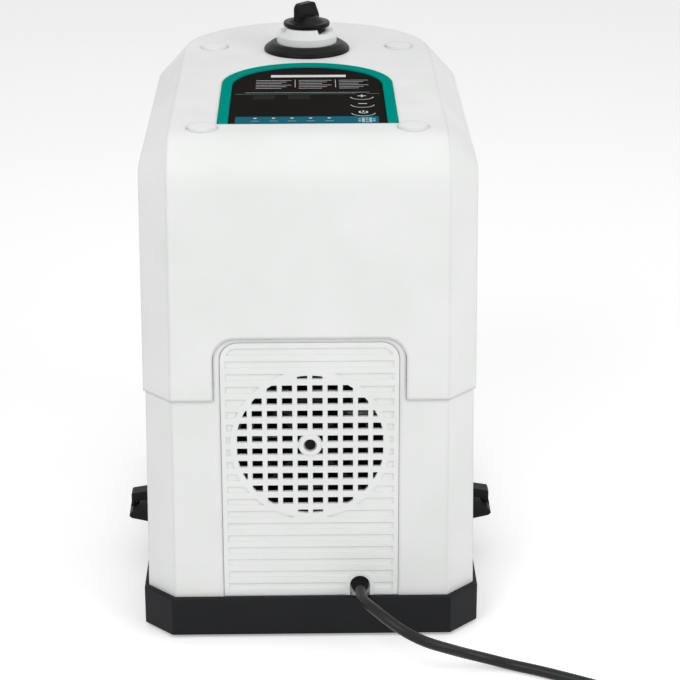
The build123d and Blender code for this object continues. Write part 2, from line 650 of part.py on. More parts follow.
def lead_coil():
    """The wound part of the lead, five turns in two layers, as one closed ring of its outer shape."""
    x, y = COIL_CENTRE
    inner_turn = OUTER_TURN - 4 * LEAD_RADIUS
    ring = rod(OUTER_TURN + LEAD_RADIUS, 0, UPPER_LAYER + LEAD_RADIUS, x, y)
    ring -= rod(inner_turn - LEAD_RADIUS, -1, UPPER_LAYER + LEAD_RADIUS + 1, x, y)
    return fillet(ring.edges().filter_by(GeomType.CIRCLE), 3.5)


# ================================================================ control panel
RECESS_FLOOR = TOP_HEIGHT + BEZEL_PROUD - BEZEL_THICK
OVERLAY_TOP = TOP_HEIGHT + BEZEL_PROUD - OVERLAY_DROP


def bezel_frame():
    outer = arch(BEZEL_HALF, PANEL_NEAR, BEZEL_ARCH_Y)
    outer = fillet(outer.vertices().filter_by(lambda v: abs(v.Y - PANEL_NEAR) < 0.1), 5.0)
    inner = arch(OVERLAY_HALF + 0.15, PANEL_NEAR - 2, OVERLAY_ARCH_Y)
    frame = extrude(Pos(0, 0, RECESS_FLOOR) * (outer - inner), amount=BEZEL_THICK)
    return chamfer(frame.edges().filter_by(lambda e: abs(e.center().Z - RECESS_FLOOR - BEZEL_THICK) < 0.01), 0.3)


def control_overlay():
    sheet = extrude(Pos(0, 0, OVERLAY_TOP - OVERLAY_THICK) * arch(OVERLAY_HALF, PANEL_NEAR, OVERLAY_ARCH_Y),
                    amount=OVERLAY_THICK)
    for y in BUTTON_Y.values():
        sheet -= rod(BUTTON_RADIUS + FIT_GAP, OVERLAY_TOP - 5, OVERLAY_TOP + 1, BUTTON_X, y)
    sheet -= inlay(STRIP_SIZE, STRIP_CENTRE, 0.05)
    for centre in WINDOW_CENTRES:
        sheet -= inlay(WINDOW_SIZE, centre, 0.05)
    for x in LIGHT_X:
        sheet -= rod(LIGHT_RADIUS + RUNNING_GAP, OVERLAY_TOP - 5, OVERLAY_TOP + 1, x, LIGHT_Y)
    return sheet


def inlay(size, centre, grow=0.0):
    """A thin plate let into the overlay's face."""
    face = fillet(Rectangle(size[0] + 2 * grow, size[1] + 2 * grow).vertices(), 1.2)
    return extrude(Pos(centre[0], centre[1], OVERLAY_TOP - INLAY_DEPTH) * face, amount=INLAY_DEPTH + (1 if grow else 0))


def display_windows():
    return group([inlay(WINDOW_SIZE, centre) for centre in WINDOW_CENTRES])


def status_strip():
    strip = inlay(STRIP_SIZE, STRIP_CENTRE)
    for x in LIGHT_X:
        strip -= rod(LIGHT_RADIUS + RUNNING_GAP, OVERLAY_TOP - 5, OVERLAY_TOP + 1, x, LIGHT_Y)
    return strip


def indicator_lights():
    foot = TOP_HEIGHT - BOARD_DROP
    return group([rod(LIGHT_RADIUS, foot, OVERLAY_TOP, x, LIGHT_Y) for x in LIGHT_X])


def push_button(name):
    y = BUTTON_Y[name]
    underside = OVERLAY_TOP - OVERLAY_THICK - FIT_GAP
    cap = rod(BUTTON_RADIUS, underside - 1.3, OVERLAY_TOP + BUTTON_PROUD, BUTTON_X, y)
    cap = fillet(cap.edges().sort_by(Axis.Z)[-1:], 0.5)
    cap += rod(BUTTON_RADIUS + BUTTON_FLANGE, underside - 1.3, underside, BUTTON_X, y)
    foot = TOP_HEIGHT - BOARD_DROP + SWITCH_HEIGHT + BUTTON_TRAVEL + FIT_GAP
    return cap + rod(2.5, foot, underside - 1.3, BUTTON_X, y)


def control_board():
    top = TOP_HEIGHT - BOARD_DROP
    near, far = PANEL_NEAR + 8, BEZEL_ARCH_Y + 17
    board = block(-BOARD_HALF, BOARD_HALF, near, far, top - BOARD_THICK, top)
    for x, y in board_posts():
        board -= rod(1.6, top - 5, top + 1, x, y)
    for y in BUTTON_Y.values():
        board += block(BUTTON_X - 3, BUTTON_X + 3, y - 3, y + 3, top, top + 1.6)
        board += rod(1.7, top, top + SWITCH_HEIGHT, BUTTON_X, y)
    board += block(-46, 4, -86, -67, top, top + 5.5)
    board += block(-30, 30, -50, -40, top - BOARD_THICK - 7, top - BOARD_THICK)
    return board


def board_screws():
    """Four short screws that hang the control board on the hood's posts."""
    top = TOP_HEIGHT - BOARD_DROP - BOARD_THICK
    return [rod(2.8, top - 2, top, x, y) + rod(1.25, top, top + 3.5, x, y) for x, y in board_posts()]


# ================================================================ port on the hood
def port_collar():
    with BuildLine() as outline:
        Polyline((RING_BORE, RING_SEAT), (RING_RADIUS + 0.1, RING_SEAT), (RING_RADIUS + 0.1, COLLAR_RISE - 0.6),
                 (RING_RADIUS + 0.8, COLLAR_RISE), (RING_RADIUS + 2.4, COLLAR_RISE))
        Spline((RING_RADIUS + 2.4, COLLAR_RISE), (33.4, 5.2), (COLLAR_RADIUS, 1.4), tangents=((1, 0), (0.2, -1)))
        Polyline((COLLAR_RADIUS, 1.4), (COLLAR_RADIUS, 0), (COLLAR_SPIGOT, 0), (COLLAR_SPIGOT, -WALL - 5),
                 (STEM_BORE + 3.5, -WALL - 5), (STEM_BORE + 3.5, -20), (BARB_RADIUS, -20), (BARB_RADIUS, -28),
                 (2.2, -28), (2.2, -15), (STEM_BORE, -15), (STEM_BORE, RING_SEAT - 2), (RING_BORE, RING_SEAT))
    face = make_face(outline.line)
    body = revolve(Plane.XZ * face, axis=Axis.Z)
    return Pos(0, PORT_Y, TOP_HEIGHT) * body


def slot_ring():
    """The milky ring: an upright wall under a cone, with two level slots that the knob's tooth can run in."""
    with BuildLine() as outline:
        Polyline((RING_BORE, RING_SEAT), (RING_RADIUS, RING_SEAT), (RING_RADIUS, RING_WALL_TOP),
                 (RING_RADIUS - 1.2, RING_WALL_TOP + 1.4), (RING_TOP_RADIUS, RING_TOP), (RING_BORE, RING_TOP),
                 (RING_BORE, RING_SEAT))
    ring = revolve(Plane.XZ * make_face(outline.line), axis=Axis.Z)
    reach = TOOTH_HALF_ANGLE + TOOTH_SLACK
    for middle in (TOOTH_ANGLE, TOOTH_ANGLE + 180):
        slot = sector(RING_BORE - 2, RING_RADIUS + 2, middle - reach, KNOB_TURN + 2 * reach)
        ring -= extrude(Pos(0, 0, SLOT_FLOOR) * slot, amount=RING_TOP)
    return Pos(0, PORT_Y, TOP_HEIGHT) * ring


def sector(inner, outer, start, width):
    """A flat piece of a ring between two angles in degrees."""
    def at(radius, angle):
        return (radius * cos(radians(angle)), radius * sin(radians(angle)))
    middle = start + width / 2
    edges = [
        Line(at(inner, start), at(outer, start)),
        ThreePointArc(at(outer, start), at(outer, middle), at(outer, start + width)),
        Line(at(outer, start + width), at(inner, start + width)),
        ThreePointArc(at(inner, start + width), at(inner, middle), at(inner, start)),
    ]
    return make_face(edges)


def plug_stem():
    stem = rod(STEM_RADIUS, STEM_BOTTOM, DISC_BOTTOM - FIT_GAP) + rod(STEM_PIN, DISC_BOTTOM - FIT_GAP, DISC_TOP - 1)
    stem -= rod(STEM_RADIUS + 1, SEAL_HEIGHT - SEAL_THICK, SEAL_HEIGHT + SEAL_THICK) - rod(SEAL_SEAT, -8, 0)
    return Pos(0, PORT_Y, TOP_HEIGHT) * stem


def plug_seal():
    ring = Pos(0, 0, SEAL_HEIGHT) * Torus(SEAL_SEAT + SEAL_THICK, SEAL_THICK)
    return Pos(0, PORT_Y, TOP_HEIGHT) * ring


def wing_knob():
    disc = fillet(rod(DISC_RADIUS, DISC_BOTTOM, DISC_TOP).edges(), 1.2)
    hub = loft([Pos(0, 0, DISC_TOP - 0.5) * Circle(17.0), Pos(0, 0, DISC_TOP + 5) * Circle(8.0)])
    half = BLADE_LENGTH / 2
    with BuildLine() as outline:
        Polyline((-half, DISC_TOP - 1), (-half, BLADE_TOP - 5))
        ThreePointArc((-half, BLADE_TOP - 5), (-half + 1.6, BLADE_TOP - 1.4), (-half + 5, BLADE_TOP))
        Line((-half + 5, BLADE_TOP), (4, BLADE_TOP))
        Spline((4, BLADE_TOP), (half - 3.2, BLADE_TOP - 6.0), (half, DISC_TOP + 3), tangents=((1, 0), (0.15, -1)))
        Polyline((half, DISC_TOP + 3), (half, DISC_TOP - 1), (-half, DISC_TOP - 1))
    blade = extrude(Plane.XZ * make_face(outline.line), amount=BLADE_THICK / 2, both=True)
    knob = disc + hub + Rot(0, 0, BLADE_ANGLE) * blade
    tooth_face = sector(RING_BORE + 0.6, DISC_RADIUS - 0.6, TOOTH_ANGLE - TOOTH_HALF_ANGLE, 2 * TOOTH_HALF_ANGLE)
    tooth = extrude(Pos(0, 0, SLOT_FLOOR + FIT_GAP) * tooth_face, amount=DISC_BOTTOM + 2 - SLOT_FLOOR - FIT_GAP)
    knob = knob + tooth - rod(STEM_PIN, DISC_BOTTOM - 1, DISC_TOP - 1)
    return Pos(0, PORT_Y, TOP_HEIGHT) * knob


# ================================================================ side latches
def side_face(height):
    """Half-width of the lower housing at a height."""
    return BODY_HALF - (height - NEST_Z) * tan(radians(LOWER_DRAFT))


PIVOT_X = side_face(LATCH_SPLIT) + BRACKET_REACH - 3.0
PIVOT_Z = LATCH_SPLIT - 2.4


def side_cut(z0, z1, gap=0.0):
    """The lower housing's outer form with a gap round it, to trim a piece to its side."""
    return prism(BODY_HALF + gap, BODY_FRONT - gap, CORNER, NEST_Z, STEP_HEIGHT, LOWER_DRAFT) & block(
        -300, 300, FRONT, -FRONT, z0, z1)


def latch_screws():
    """Where the bracket's screws go into the side, along Y."""
    return (LATCH_NEAR + LATCH_SCREW_INSET, LATCH_NEAR + LATCH_LENGTH - LATCH_SCREW_INSET)


def latch_bracket():
    """The right-hand bracket: a wedge-ended block with a pocket for the lever's knuckle, and its pin."""
    root = side_face(LATCH_BOTTOM) - 4
    tip = side_face(LATCH_SPLIT) + BRACKET_REACH
    outline = Polyline((root, LATCH_BOTTOM), (BASE_HALF_WIDTH, LATCH_BOTTOM), (tip - 2, LATCH_BOTTOM + 4.2),
                       (tip, LATCH_BOTTOM + 6), (tip, LATCH_SPLIT - BRACKET_EASE),
                       (tip - 0.85 * BRACKET_EASE, LATCH_SPLIT), (root, LATCH_SPLIT),
                       (root, LATCH_BOTTOM))
    bracket = Pos(0, LATCH_NEAR, 0) * extrude(Plane.XZ * make_face(outline.edges()), amount=-LATCH_LENGTH)
    bracket -= side_cut(LATCH_BOTTOM - 2, LATCH_SPLIT + 2)
    half = KNUCKLE_LENGTH / 2 + FIT_GAP
    bracket -= block(PIVOT_X - 4.2, tip + 1, LEVER_MIDDLE - half, LEVER_MIDDLE + half, LATCH_BOTTOM, LATCH_SPLIT + 1)
    bracket += rod_y(LATCH_PIN, LEVER_MIDDLE - half - 3, LEVER_MIDDLE + half + 3, PIVOT_X, PIVOT_Z)
    for y in latch_screws():
        bracket += rod_x(SCREW_RADIUS - RUNNING_GAP, side_face(LATCH_BOTTOM) - 5, PIVOT_X - 8, y, LATCH_BOTTOM + 7)
    return bracket


def latch_lever():
    """The right-hand lever: a bridge over a finger slot, and a knuckle on the bracket's pin."""
    root = side_face(LATCH_SPLIT) + FIT_GAP
    tip = side_face(LATCH_SPLIT) + LEVER_REACH
    low = LATCH_SPLIT + FIT_GAP
    ceiling = low + SLOT_HEIGHT
    outline = Polyline((root, low), (tip - 2 * LEVER_EASE, low), (tip, low + LEVER_EASE), (tip, ceiling + LEVER_ROOF - 1.2), (tip - 1.2, ceiling + LEVER_ROOF),
                       (root, LEVER_TOP), (root, low))
    near = LEVER_MIDDLE - LEVER_LENGTH / 2
    lever = Pos(0, near, 0) * extrude(Plane.XZ * make_face(outline.edges()), amount=-LEVER_LENGTH)
    lever -= block(root + 3, tip - 2.8, near - 5, near + LEVER_LENGTH + 5, low - 1, ceiling)
    half = KNUCKLE_LENGTH / 2
    lever += block(PIVOT_X - 3.0, tip, LEVER_MIDDLE - half, LEVER_MIDDLE + half, PIVOT_Z, low + 1)
    lever += rod_y(3.0, LEVER_MIDDLE - half, LEVER_MIDDLE + half, PIVOT_X, PIVOT_Z)
    return lever - rod_y(LATCH_PIN + RUNNING_GAP, LEVER_MIDDLE - half - 1, LEVER_MIDDLE + half + 1, PIVOT_X, PIVOT_Z)


# ================================================================ filter door
def filter_door():
    door = door_zone(DOOR_HALF, DOOR_BOTTOM, DOOR_TOP, 0, DOOR_THICK - 0.1)
    for i in range(7):
        z = DOOR_BOTTOM + 22 + i * 12
        door -= block(-DOOR_HALF + 12, DOOR_HALF - 12, BOW_CENTRE, 400, z, z + 4.5)
    return door - block(-18, 18, BOW_CENTRE, 400, DOOR_TOP - 12, DOOR_TOP - 5)


def filter_foam():
    return door_zone(DOOR_HALF - 7.4, DOOR_BOTTOM + 7.4, DOOR_TOP - 7.4, DOOR_THICK + 0.1, DOOR_THICK + FOAM_THICK - 0.1)


# ================================================================ chassis
TAB_TOP = TOP_HEIGHT - WELL_DROP


def chassis_frame():
    half = UPRIGHT_X
    frame = block(half - GAUGE, half, UPRIGHT_NEAR, UPRIGHT_FAR, TRAY_INSIDE, TAB_TOP)
    frame -= block(half - 5, half + 5, UPRIGHT_NEAR + 42, UPRIGHT_FAR - 30, TRAY_INSIDE + 50, TAB_TOP - 130)
    frame -= block(half - 5, half + 5, UPRIGHT_NEAR + 42, UPRIGHT_FAR - 30, TAB_TOP - 110, TAB_TOP - 20)
    frame += block(half - 12, half, UPRIGHT_NEAR, UPRIGHT_FAR, TRAY_INSIDE, TRAY_INSIDE + GAUGE)
    for y in (CAP_NEAR_Y, CAP_FAR_Y):
        frame += block(CAP_X - 14, half, y - TAB_DEPTH / 2 + 0.5, y + TAB_DEPTH / 2, TAB_TOP - GAUGE, TAB_TOP)
        frame -= rod(2.0, TAB_TOP - 5, TAB_TOP + 1, CAP_X, y)
    frame = frame + mirrored(frame)
    bar_y = COOLER_Y - 12
    frame += block(-half + 1, half - 1, bar_y - GAUGE, bar_y, 236, 252)
    frame += block(-half + 1, half - 1, 88, 88 + GAUGE, 300, 316)
    return frame


def vibration_mounts():
    mounts = []
    for x in (-MOUNT_X, MOUNT_X):
        for y in (MOUNT_NEAR, MOUNT_FAR):
            bobbin = rod(9.0, TRAY_INSIDE, PLATE_HEIGHT, x, y) - rod(3.0, TRAY_INSIDE + 4, PLATE_HEIGHT + 1, x, y)
            waist = Pos(x, y, (TRAY_INSIDE + PLATE_HEIGHT) / 2) * Torus(11.0, 3.4)
            mounts.append(bobbin - waist)
    return group(mounts)


def mount_bolts():
    bolts = []
    for x in (-MOUNT_X, MOUNT_X):
        for y in (MOUNT_NEAR, MOUNT_FAR):
            head = Pos(x, y, PLATE_HEIGHT + GAUGE + 2) * extrude(RegularPolygon(6, 6), amount=2, both=True)
            bolts.append(head + rod(2.95, TRAY_INSIDE + 5, PLATE_HEIGHT + GAUGE, x, y))
    return group(bolts)


def compressor_plate():
    plate = block(-PLATE_HALF, PLATE_HALF, PLATE_NEAR, PLATE_FAR, PLATE_HEIGHT, PLATE_HEIGHT + GAUGE)
    for x in (-PLATE_HALF, PLATE_HALF - GAUGE):
        plate += block(x, x + GAUGE, PLATE_NEAR, PLATE_FAR, PLATE_HEIGHT, PLATE_HEIGHT + 10)
    for x in (-MOUNT_X, MOUNT_X):
        for y in (MOUNT_NEAR, MOUNT_FAR):
            plate -= rod(3.1, PLATE_HEIGHT - 1, PLATE_HEIGHT + 5, x, y)
    return plate


# ================================================================ compressor
PLATE_TOP = PLATE_HEIGHT + GAUGE


def motor_stator():
    stator = rod_x(STATOR_RADIUS, -STATOR_HALF, STATOR_HALF, SHAFT_Y, SHAFT_HEIGHT)
    for i in range(12):
        angle = radians(i * 30 + 15)
        y, z = SHAFT_Y + STATOR_RADIUS * cos(angle), SHAFT_HEIGHT + STATOR_RADIUS * sin(angle)
        stator -= rod_x(2.5, -STATOR_HALF + 8, STATOR_HALF - 8, y, z)
    stator += block(-30, 30, SHAFT_Y - 34, SHAFT_Y + 34, PLATE_TOP, SHAFT_HEIGHT - 35)
    return stator - rod_x(ROTOR_RADIUS + 0.5, -STATOR_HALF - 1, STATOR_HALF + 1, SHAFT_Y, SHAFT_HEIGHT)


def crank_cases():
    case = block(CRANK_X - CRANK_HALF, CRANK_X + CRANK_HALF, SHAFT_Y - 36, SHAFT_Y + 36, PLATE_TOP, CASE_TOP)
    case = fillet(case.edges().filter_by(Axis.X), 6)
    case -= rod_x(CRANK_BORE, CRANK_X - CRANK_HALF + 5, CRANK_X + CRANK_HALF - 5, SHAFT_Y, SHAFT_HEIGHT)
    case -= rod_x(SHAFT_RADIUS + RUNNING_GAP, 0, CRANK_X + 50, SHAFT_Y, SHAFT_HEIGHT)
    return group([case, mirrored(case)])


def cylinder_barrels():
    barrel = rod(BARREL_RADIUS, CASE_TOP, BARREL_TOP, CRANK_X, SHAFT_Y)
    barrel -= rod(BARREL_RADIUS - 5, CASE_TOP - 1, BARREL_TOP + 1, CRANK_X, SHAFT_Y)
    for z in range(int(CASE_TOP) + 4, int(BARREL_TOP) - 2, 4):
        barrel += rod(BARREL_RADIUS + 5, z, z + 1.6, CRANK_X, SHAFT_Y) - rod(BARREL_RADIUS - 1, z - 1, z + 3, CRANK_X, SHAFT_Y)
    return group([barrel, mirrored(barrel)])


def cylinder_heads():
    head = block(CRANK_X - 28, CRANK_X + 28, SHAFT_Y - 28, SHAFT_Y + 28, BARREL_TOP, HEAD_TOP)
    head = fillet(head.edges().filter_by(Axis.Z), 6)
    for i in range(-2, 3):
        head -= block(CRANK_X - 30, CRANK_X + 30, SHAFT_Y + i * 9 - 1.5, SHAFT_Y + i * 9 + 1.5, HEAD_TOP - 7, HEAD_TOP + 1)
    head += rod(BARB_RADIUS + 3, HEAD_TOP - 8, HEAD_TOP, CRANK_X, SHAFT_Y)
    head += rod(BARB_RADIUS, HEAD_TOP - 1, HEAD_TOP + BARB_LENGTH, CRANK_X, SHAFT_Y)
    left = mirrored(head) + rod(BARB_RADIUS, HEAD_TOP - 8, HEAD_TOP + BARB_LENGTH, -CRANK_X + 16, SHAFT_Y)
    return group([head, left])


def motor_rotor():
    rotor = rod_x(ROTOR_RADIUS, -STATOR_HALF + 2, STATOR_HALF - 2, SHAFT_Y, SHAFT_HEIGHT)
    rotor += rod_x(SHAFT_RADIUS, -CRANK_X - 38, CRANK_X + 38, SHAFT_Y, SHAFT_HEIGHT)
    for side in (-1, 1):
        rotor += rod_x(14, side * CRANK_X - 6, side * CRANK_X + 6, SHAFT_Y, SHAFT_HEIGHT + side * CRANK_THROW)
    return rotor


def cooling_fans():
    inner = CRANK_X + CRANK_HALF + 4
    fan = rod_x(13, inner, inner + 14, SHAFT_Y, SHAFT_HEIGHT)
    for i in range(6):
        blade = Pos(0, 22, 0) * Rot(0, 35, 0) * Box(16, 24, 1.5)
        blade = blade & (Rot(0, 90, 0) * Cylinder(34, 13))
        fan += Pos(inner + 7, SHAFT_Y, SHAFT_HEIGHT) * Rot(i * 60, 0, 0) * blade
    fan -= rod_x(SHAFT_RADIUS, inner - 1, inner + 20, SHAFT_Y, SHAFT_HEIGHT)
    return group([fan, mirrored(fan)])


# ================================================================ gas path
def sieve_beds():
    bed = rod(BED_RADIUS, TRAY_INSIDE + CAP_HEIGHT, BED_TOP, BED_X, BED_Y)
    bed = fillet(bed.edges().sort_by(Axis.Z)[-1:], 6)
    return group([bed, mirrored(bed)])


def bed_caps():
    cap = rod(BED_RADIUS + 3, TRAY_INSIDE, TRAY_INSIDE + CAP_HEIGHT, BED_X, BED_Y)
    cap = fillet(cap.edges().filter_by(GeomType.CIRCLE), 1.5)
    return group([cap, mirrored(cap)])


def valve_manifold():
    half = BED_X + BED_RADIUS
    body = block(-half, half, BED_Y - 28, BED_Y + 28, BED_TOP, MANIFOLD_TOP)
    body = fillet(body.edges().filter_by(Axis.Z), 5)
    body += rod_y(BARB_RADIUS, BED_Y - 28 - BARB_LENGTH, BED_Y - 27, BED_X + 20, (BED_TOP + MANIFOLD_TOP) / 2)
    return body


def solenoid_valves():
    valves = []
    for x in (-30, 10, 50):
        coil = fillet(block(x - 12, x + 12, BED_Y - 14, BED_Y + 14, MANIFOLD_TOP, MANIFOLD_TOP + 30).edges().filter_by(
            Axis.Z), 3)
        valves.append(coil + rod(6, MANIFOLD_TOP + 30, MANIFOLD_TOP + 38, x, BED_Y))
    return group(valves)


def product_tank():
    tank = rod(TANK_RADIUS, TRAY_INSIDE, TANK_TOP, 0, TANK_Y)
    tank = fillet(tank.edges().filter_by(GeomType.CIRCLE), 5)
    return tank + rod(BARB_RADIUS, TANK_TOP - 1, TANK_TOP + BARB_LENGTH, 0, TANK_Y)


def pressure_regulator():
    x = -BED_X - 12
    body = rod(13, MANIFOLD_TOP, MANIFOLD_TOP + 22, x, BED_Y)
    body += rod(8, MANIFOLD_TOP + 21, MANIFOLD_TOP + 32, x, BED_Y)
    return body + rod(BARB_RADIUS, MANIFOLD_TOP + 31, MANIFOLD_TOP + 32 + BARB_LENGTH, x, BED_Y)


def cooler_ends():
    """Heights of the cooler's passes, from the top one down."""
    return [COOLER_BOTTOM + i * COOLER_PITCH for i in range(COOLER_PASSES)][::-1]


def cooler_tube():
    reach = COOLER_HALF + 12
    points = [(-reach - 6, COOLER_Y, cooler_ends()[0] + 24), (-reach - 6, COOLER_Y, cooler_ends()[0])]
    side = 1
    for z, following in zip(cooler_ends(), cooler_ends()[1:] + [None]):
        points.append((side * reach, COOLER_Y, z))
        if following is not None:
            points.append((side * reach, COOLER_Y, following))
        side = -side
    points[-1] = (-reach - 12, COOLER_Y, points[-1][2])
    return pipe(points, COOLER_TUBE, 8.0)


def cooler_fins():
    fins = []
    for i in range(9):
        x = (i - 4) * COOLER_HALF / 4
        top = 252 if abs(i - 4) == 4 else cooler_ends()[0] + 9
        fin = block(x - 0.5, x + 0.5, COOLER_Y - (12 if abs(i - 4) == 4 else 9), COOLER_Y + 9, COOLER_BOTTOM - 9, top)
        for z in cooler_ends():
            fin -= rod_x(COOLER_TUBE, x - 2, x + 2, COOLER_Y, z)
        fins.append(fin)
    return group(fins)


def air_hoses():
    bore_y = SHAFT_Y
    top = HEAD_TOP
    inlet = (-COOLER_HALF - 18, COOLER_Y, cooler_ends()[0] + 24)
    manifold_z = (BED_TOP + MANIFOLD_TOP) / 2
    outlet = (-COOLER_HALF - 24, COOLER_Y, COOLER_BOTTOM)
    barb_tip = BED_Y - 28 - BARB_LENGTH
    regulator = (-BED_X - 12, BED_Y, MANIFOLD_TOP + 32 + BARB_LENGTH)
    tip = BARB_LENGTH
    return group([
        pipe([(-CRANK_X, bore_y, top + tip), (-CRANK_X, bore_y, 290), (inlet[0], inlet[1], 290), inlet], HOSE_RADIUS, 22),
        pipe([(CRANK_X, bore_y, top + tip), (CRANK_X, bore_y, top + 40), (-CRANK_X + 16, bore_y, top + 40),
              (-CRANK_X + 16, bore_y, top + tip)], HOSE_RADIUS, 16),
        pipe([outlet, (-98, COOLER_Y, COOLER_BOTTOM), (-98, COOLER_Y, 200), (-98, -60, 200), (-98, -60, 270),
              (BED_X + 20, -60, 270), (BED_X + 20, 40, manifold_z), (BED_X + 20, barb_tip, manifold_z)], HOSE_RADIUS, 12),
        pipe([(0, TANK_Y, TANK_TOP + tip), (0, TANK_Y, BED_TOP)], HOSE_RADIUS, 10),
        pipe([regulator, (regulator[0], BED_Y, 345), (0, PORT_Y, 345), (0, PORT_Y, TOP_HEIGHT - 28)], HOSE_RADIUS, 14),
    ])


def exhaust_muffler():
    can = rod(18, TRAY_INSIDE, TRAY_INSIDE + 90, -62, -124)
    return fillet(can.edges().filter_by(GeomType.CIRCLE), 4)


# ================================================================ electrics
def power_board():
    inner = UPRIGHT_X - GAUGE
    board = block(inner - 9.6, inner - 8, -178, -156, 60, 180)
    for z in (66, 174):
        board += rod_x(3, inner - 8, inner, -170, z)
    board += block(inner - 30, inner - 9.6, -176, -158, 70, 110)
    return board + rod_x(8, inner - 34, inner - 9.6, -167, 130)


def run_capacitor():
    can = rod(19, TRAY_INSIDE, TRAY_INSIDE + 74, 66, -122)
    can = fillet(can.edges().sort_by(Axis.Z)[-1:], 3)
    top = TRAY_INSIDE + 74
    return can + block(60, 64, -124, -120, top - 1, top + 9) + block(69, 73, -124, -120, top - 1, top + 9)


def terminal_block():
    body = block(18, 60, -186, -172, TRAY_INSIDE, TRAY_INSIDE + 16)
    for i in range(4):
        body -= rod(2.6, TRAY_INSIDE + 10, TRAY_INSIDE + 20, 24 + i * 10, -179)
    return body


# ================================================================ mains plug
PLUG_PLACE = Plane(
    origin=Vector(*TAIL_ROUTE[-1]) + TAIL_WAY * PLUG_NECK,
    x_dir=(TAIL_WAY.Y, -TAIL_WAY.X, 0),
    z_dir=TAIL_WAY,
).location


def mains_plug():
    """A round two-pin plug with a tapered neck."""
    face = extrude(Circle(PLUG_RADIUS), amount=PLUG_BODY)
    face = fillet(face.edges().filter_by(GeomType.CIRCLE), 1.2)
    neck = loft([Pos(0, 0, 0.5) * Circle(15.5), Pos(0, 0, -PLUG_NECK / 2) * Circle(9.5),
                 Pos(0, 0, -PLUG_NECK) * Circle(LEAD_RADIUS + 1.2)])
    return PLUG_PLACE * (face + neck)


def plug_pins():
    pins = []
    for x in (-PIN_SPACING / 2, PIN_SPACING / 2):
        pin = Pos(x, 0, PLUG_BODY + PIN_LENGTH / 2) * Cylinder(PIN_RADIUS, PIN_LENGTH)
        pins.append(PLUG_PLACE * fillet(pin.edges().sort_by(Axis.Z)[-1:], 1.0))
    return group(pins)


PIECES = {
    "base_tray": base_tray,
    "rubber_feet": rubber_feet,
    "lower_housing": lower_housing,
    "hood": hood,
    "screw_caps": screw_caps,
    "hood_screws": hood_screws,
    "grille_panel": grille_panel,
    "grille_screw": grille_screw,
    "fan_guard": fan_guard,
    "fan_frame": fan_frame,
    "fan_rotor": fan_rotor,
    "small_screws": lambda: group([*fan_screws(), *board_screws()]),
    "strain_relief": strain_relief,
    "mains_lead": lambda: lead_along(LEAD_ROUTE),
    "lead_tail": lambda: lead_along(TAIL_ROUTE),
    "lead_coil": lead_coil,
    "mains_plug": mains_plug,
    "plug_pins": plug_pins,
    "bezel_frame": bezel_frame,
    "control_overlay": control_overlay,
    "display_windows": display_windows,
    "status_strip": status_strip,
    "indicator_lights": indicator_lights,
    "plus_button": lambda: push_button("plus_button"),
    "minus_button": lambda: push_button("minus_button"),
    "power_button": lambda: push_button("power_button"),
    "control_board": control_board,
    "port_collar": port_collar,
    "slot_ring": slot_ring,
    "plug_stem": plug_stem,
    "plug_seal": plug_seal,
    "wing_knob": wing_knob,
    "latch_brackets": lambda: group([latch_bracket(), mirrored(latch_bracket())]),
    "right_latch_lever": latch_lever,
    "left_latch_lever": lambda: mirrored(latch_lever()),
    "filter_door": filter_door,
    "filter_foam": filter_foam,
    "chassis_frame": chassis_frame,
    "vibration_mounts": vibration_mounts,
    "mount_bolts": mount_bolts,
    "compressor_plate": compressor_plate,
    "motor_stator": motor_stator,
    "crank_cases": crank_cases,
    "cylinder_barrels": cylinder_barrels,
    "cylinder_heads": cylinder_heads,
    "motor_rotor": motor_rotor,
    "cooling_fans": cooling_fans,
    "sieve_beds": sieve_beds,
    "bed_caps": bed_caps,
    "valve_manifold": valve_manifold,
    "solenoid_valves": solenoid_valves,
    "product_tank": product_tank,
    "pressure_regulator": pressure_regulator,
    "cooler_tube": cooler_tube,
    "cooler_fins": cooler_fins,
    "air_hoses": air_hoses,
    "exhaust_muffler": exhaust_muffler,
    "run_capacitor": run_capacitor,
    "power_board": power_board,
    "terminal_block": terminal_block,
}

for name, make in PIECES.items():
    export_step(make(), f"parts/{name}.step")
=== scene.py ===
"""Oxygen concentrator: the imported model's finishes, its mains lead, printed marks, light and camera."""
from math import pi, radians
import bmesh
import bpy
import numpy as np
from mathutils import Matrix, Vector


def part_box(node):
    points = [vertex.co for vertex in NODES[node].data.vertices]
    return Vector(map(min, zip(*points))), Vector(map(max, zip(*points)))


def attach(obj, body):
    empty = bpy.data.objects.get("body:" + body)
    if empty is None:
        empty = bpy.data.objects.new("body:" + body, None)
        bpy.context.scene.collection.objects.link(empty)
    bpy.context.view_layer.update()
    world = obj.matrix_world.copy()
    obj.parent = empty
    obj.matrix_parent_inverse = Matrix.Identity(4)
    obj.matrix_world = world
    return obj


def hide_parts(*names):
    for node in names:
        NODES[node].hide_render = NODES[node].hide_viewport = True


bl_info = {
    "name": "Oxygen Concentrator",
    "version": (1, 0, 0),
    "blender": (4, 5, 0),
    "location": "View3D > Sidebar > Concentrator",
    "description": "Builds the finishes, mains lead, printed marks and studio of an oxygen concentrator",
    "category": "Object",
}

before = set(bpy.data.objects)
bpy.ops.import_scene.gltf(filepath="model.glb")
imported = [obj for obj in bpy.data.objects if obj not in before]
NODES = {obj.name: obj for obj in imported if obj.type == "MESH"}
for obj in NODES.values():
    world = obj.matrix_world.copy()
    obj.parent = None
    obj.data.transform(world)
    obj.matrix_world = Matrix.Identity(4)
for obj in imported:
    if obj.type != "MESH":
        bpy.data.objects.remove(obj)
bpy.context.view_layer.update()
MM = 0.001


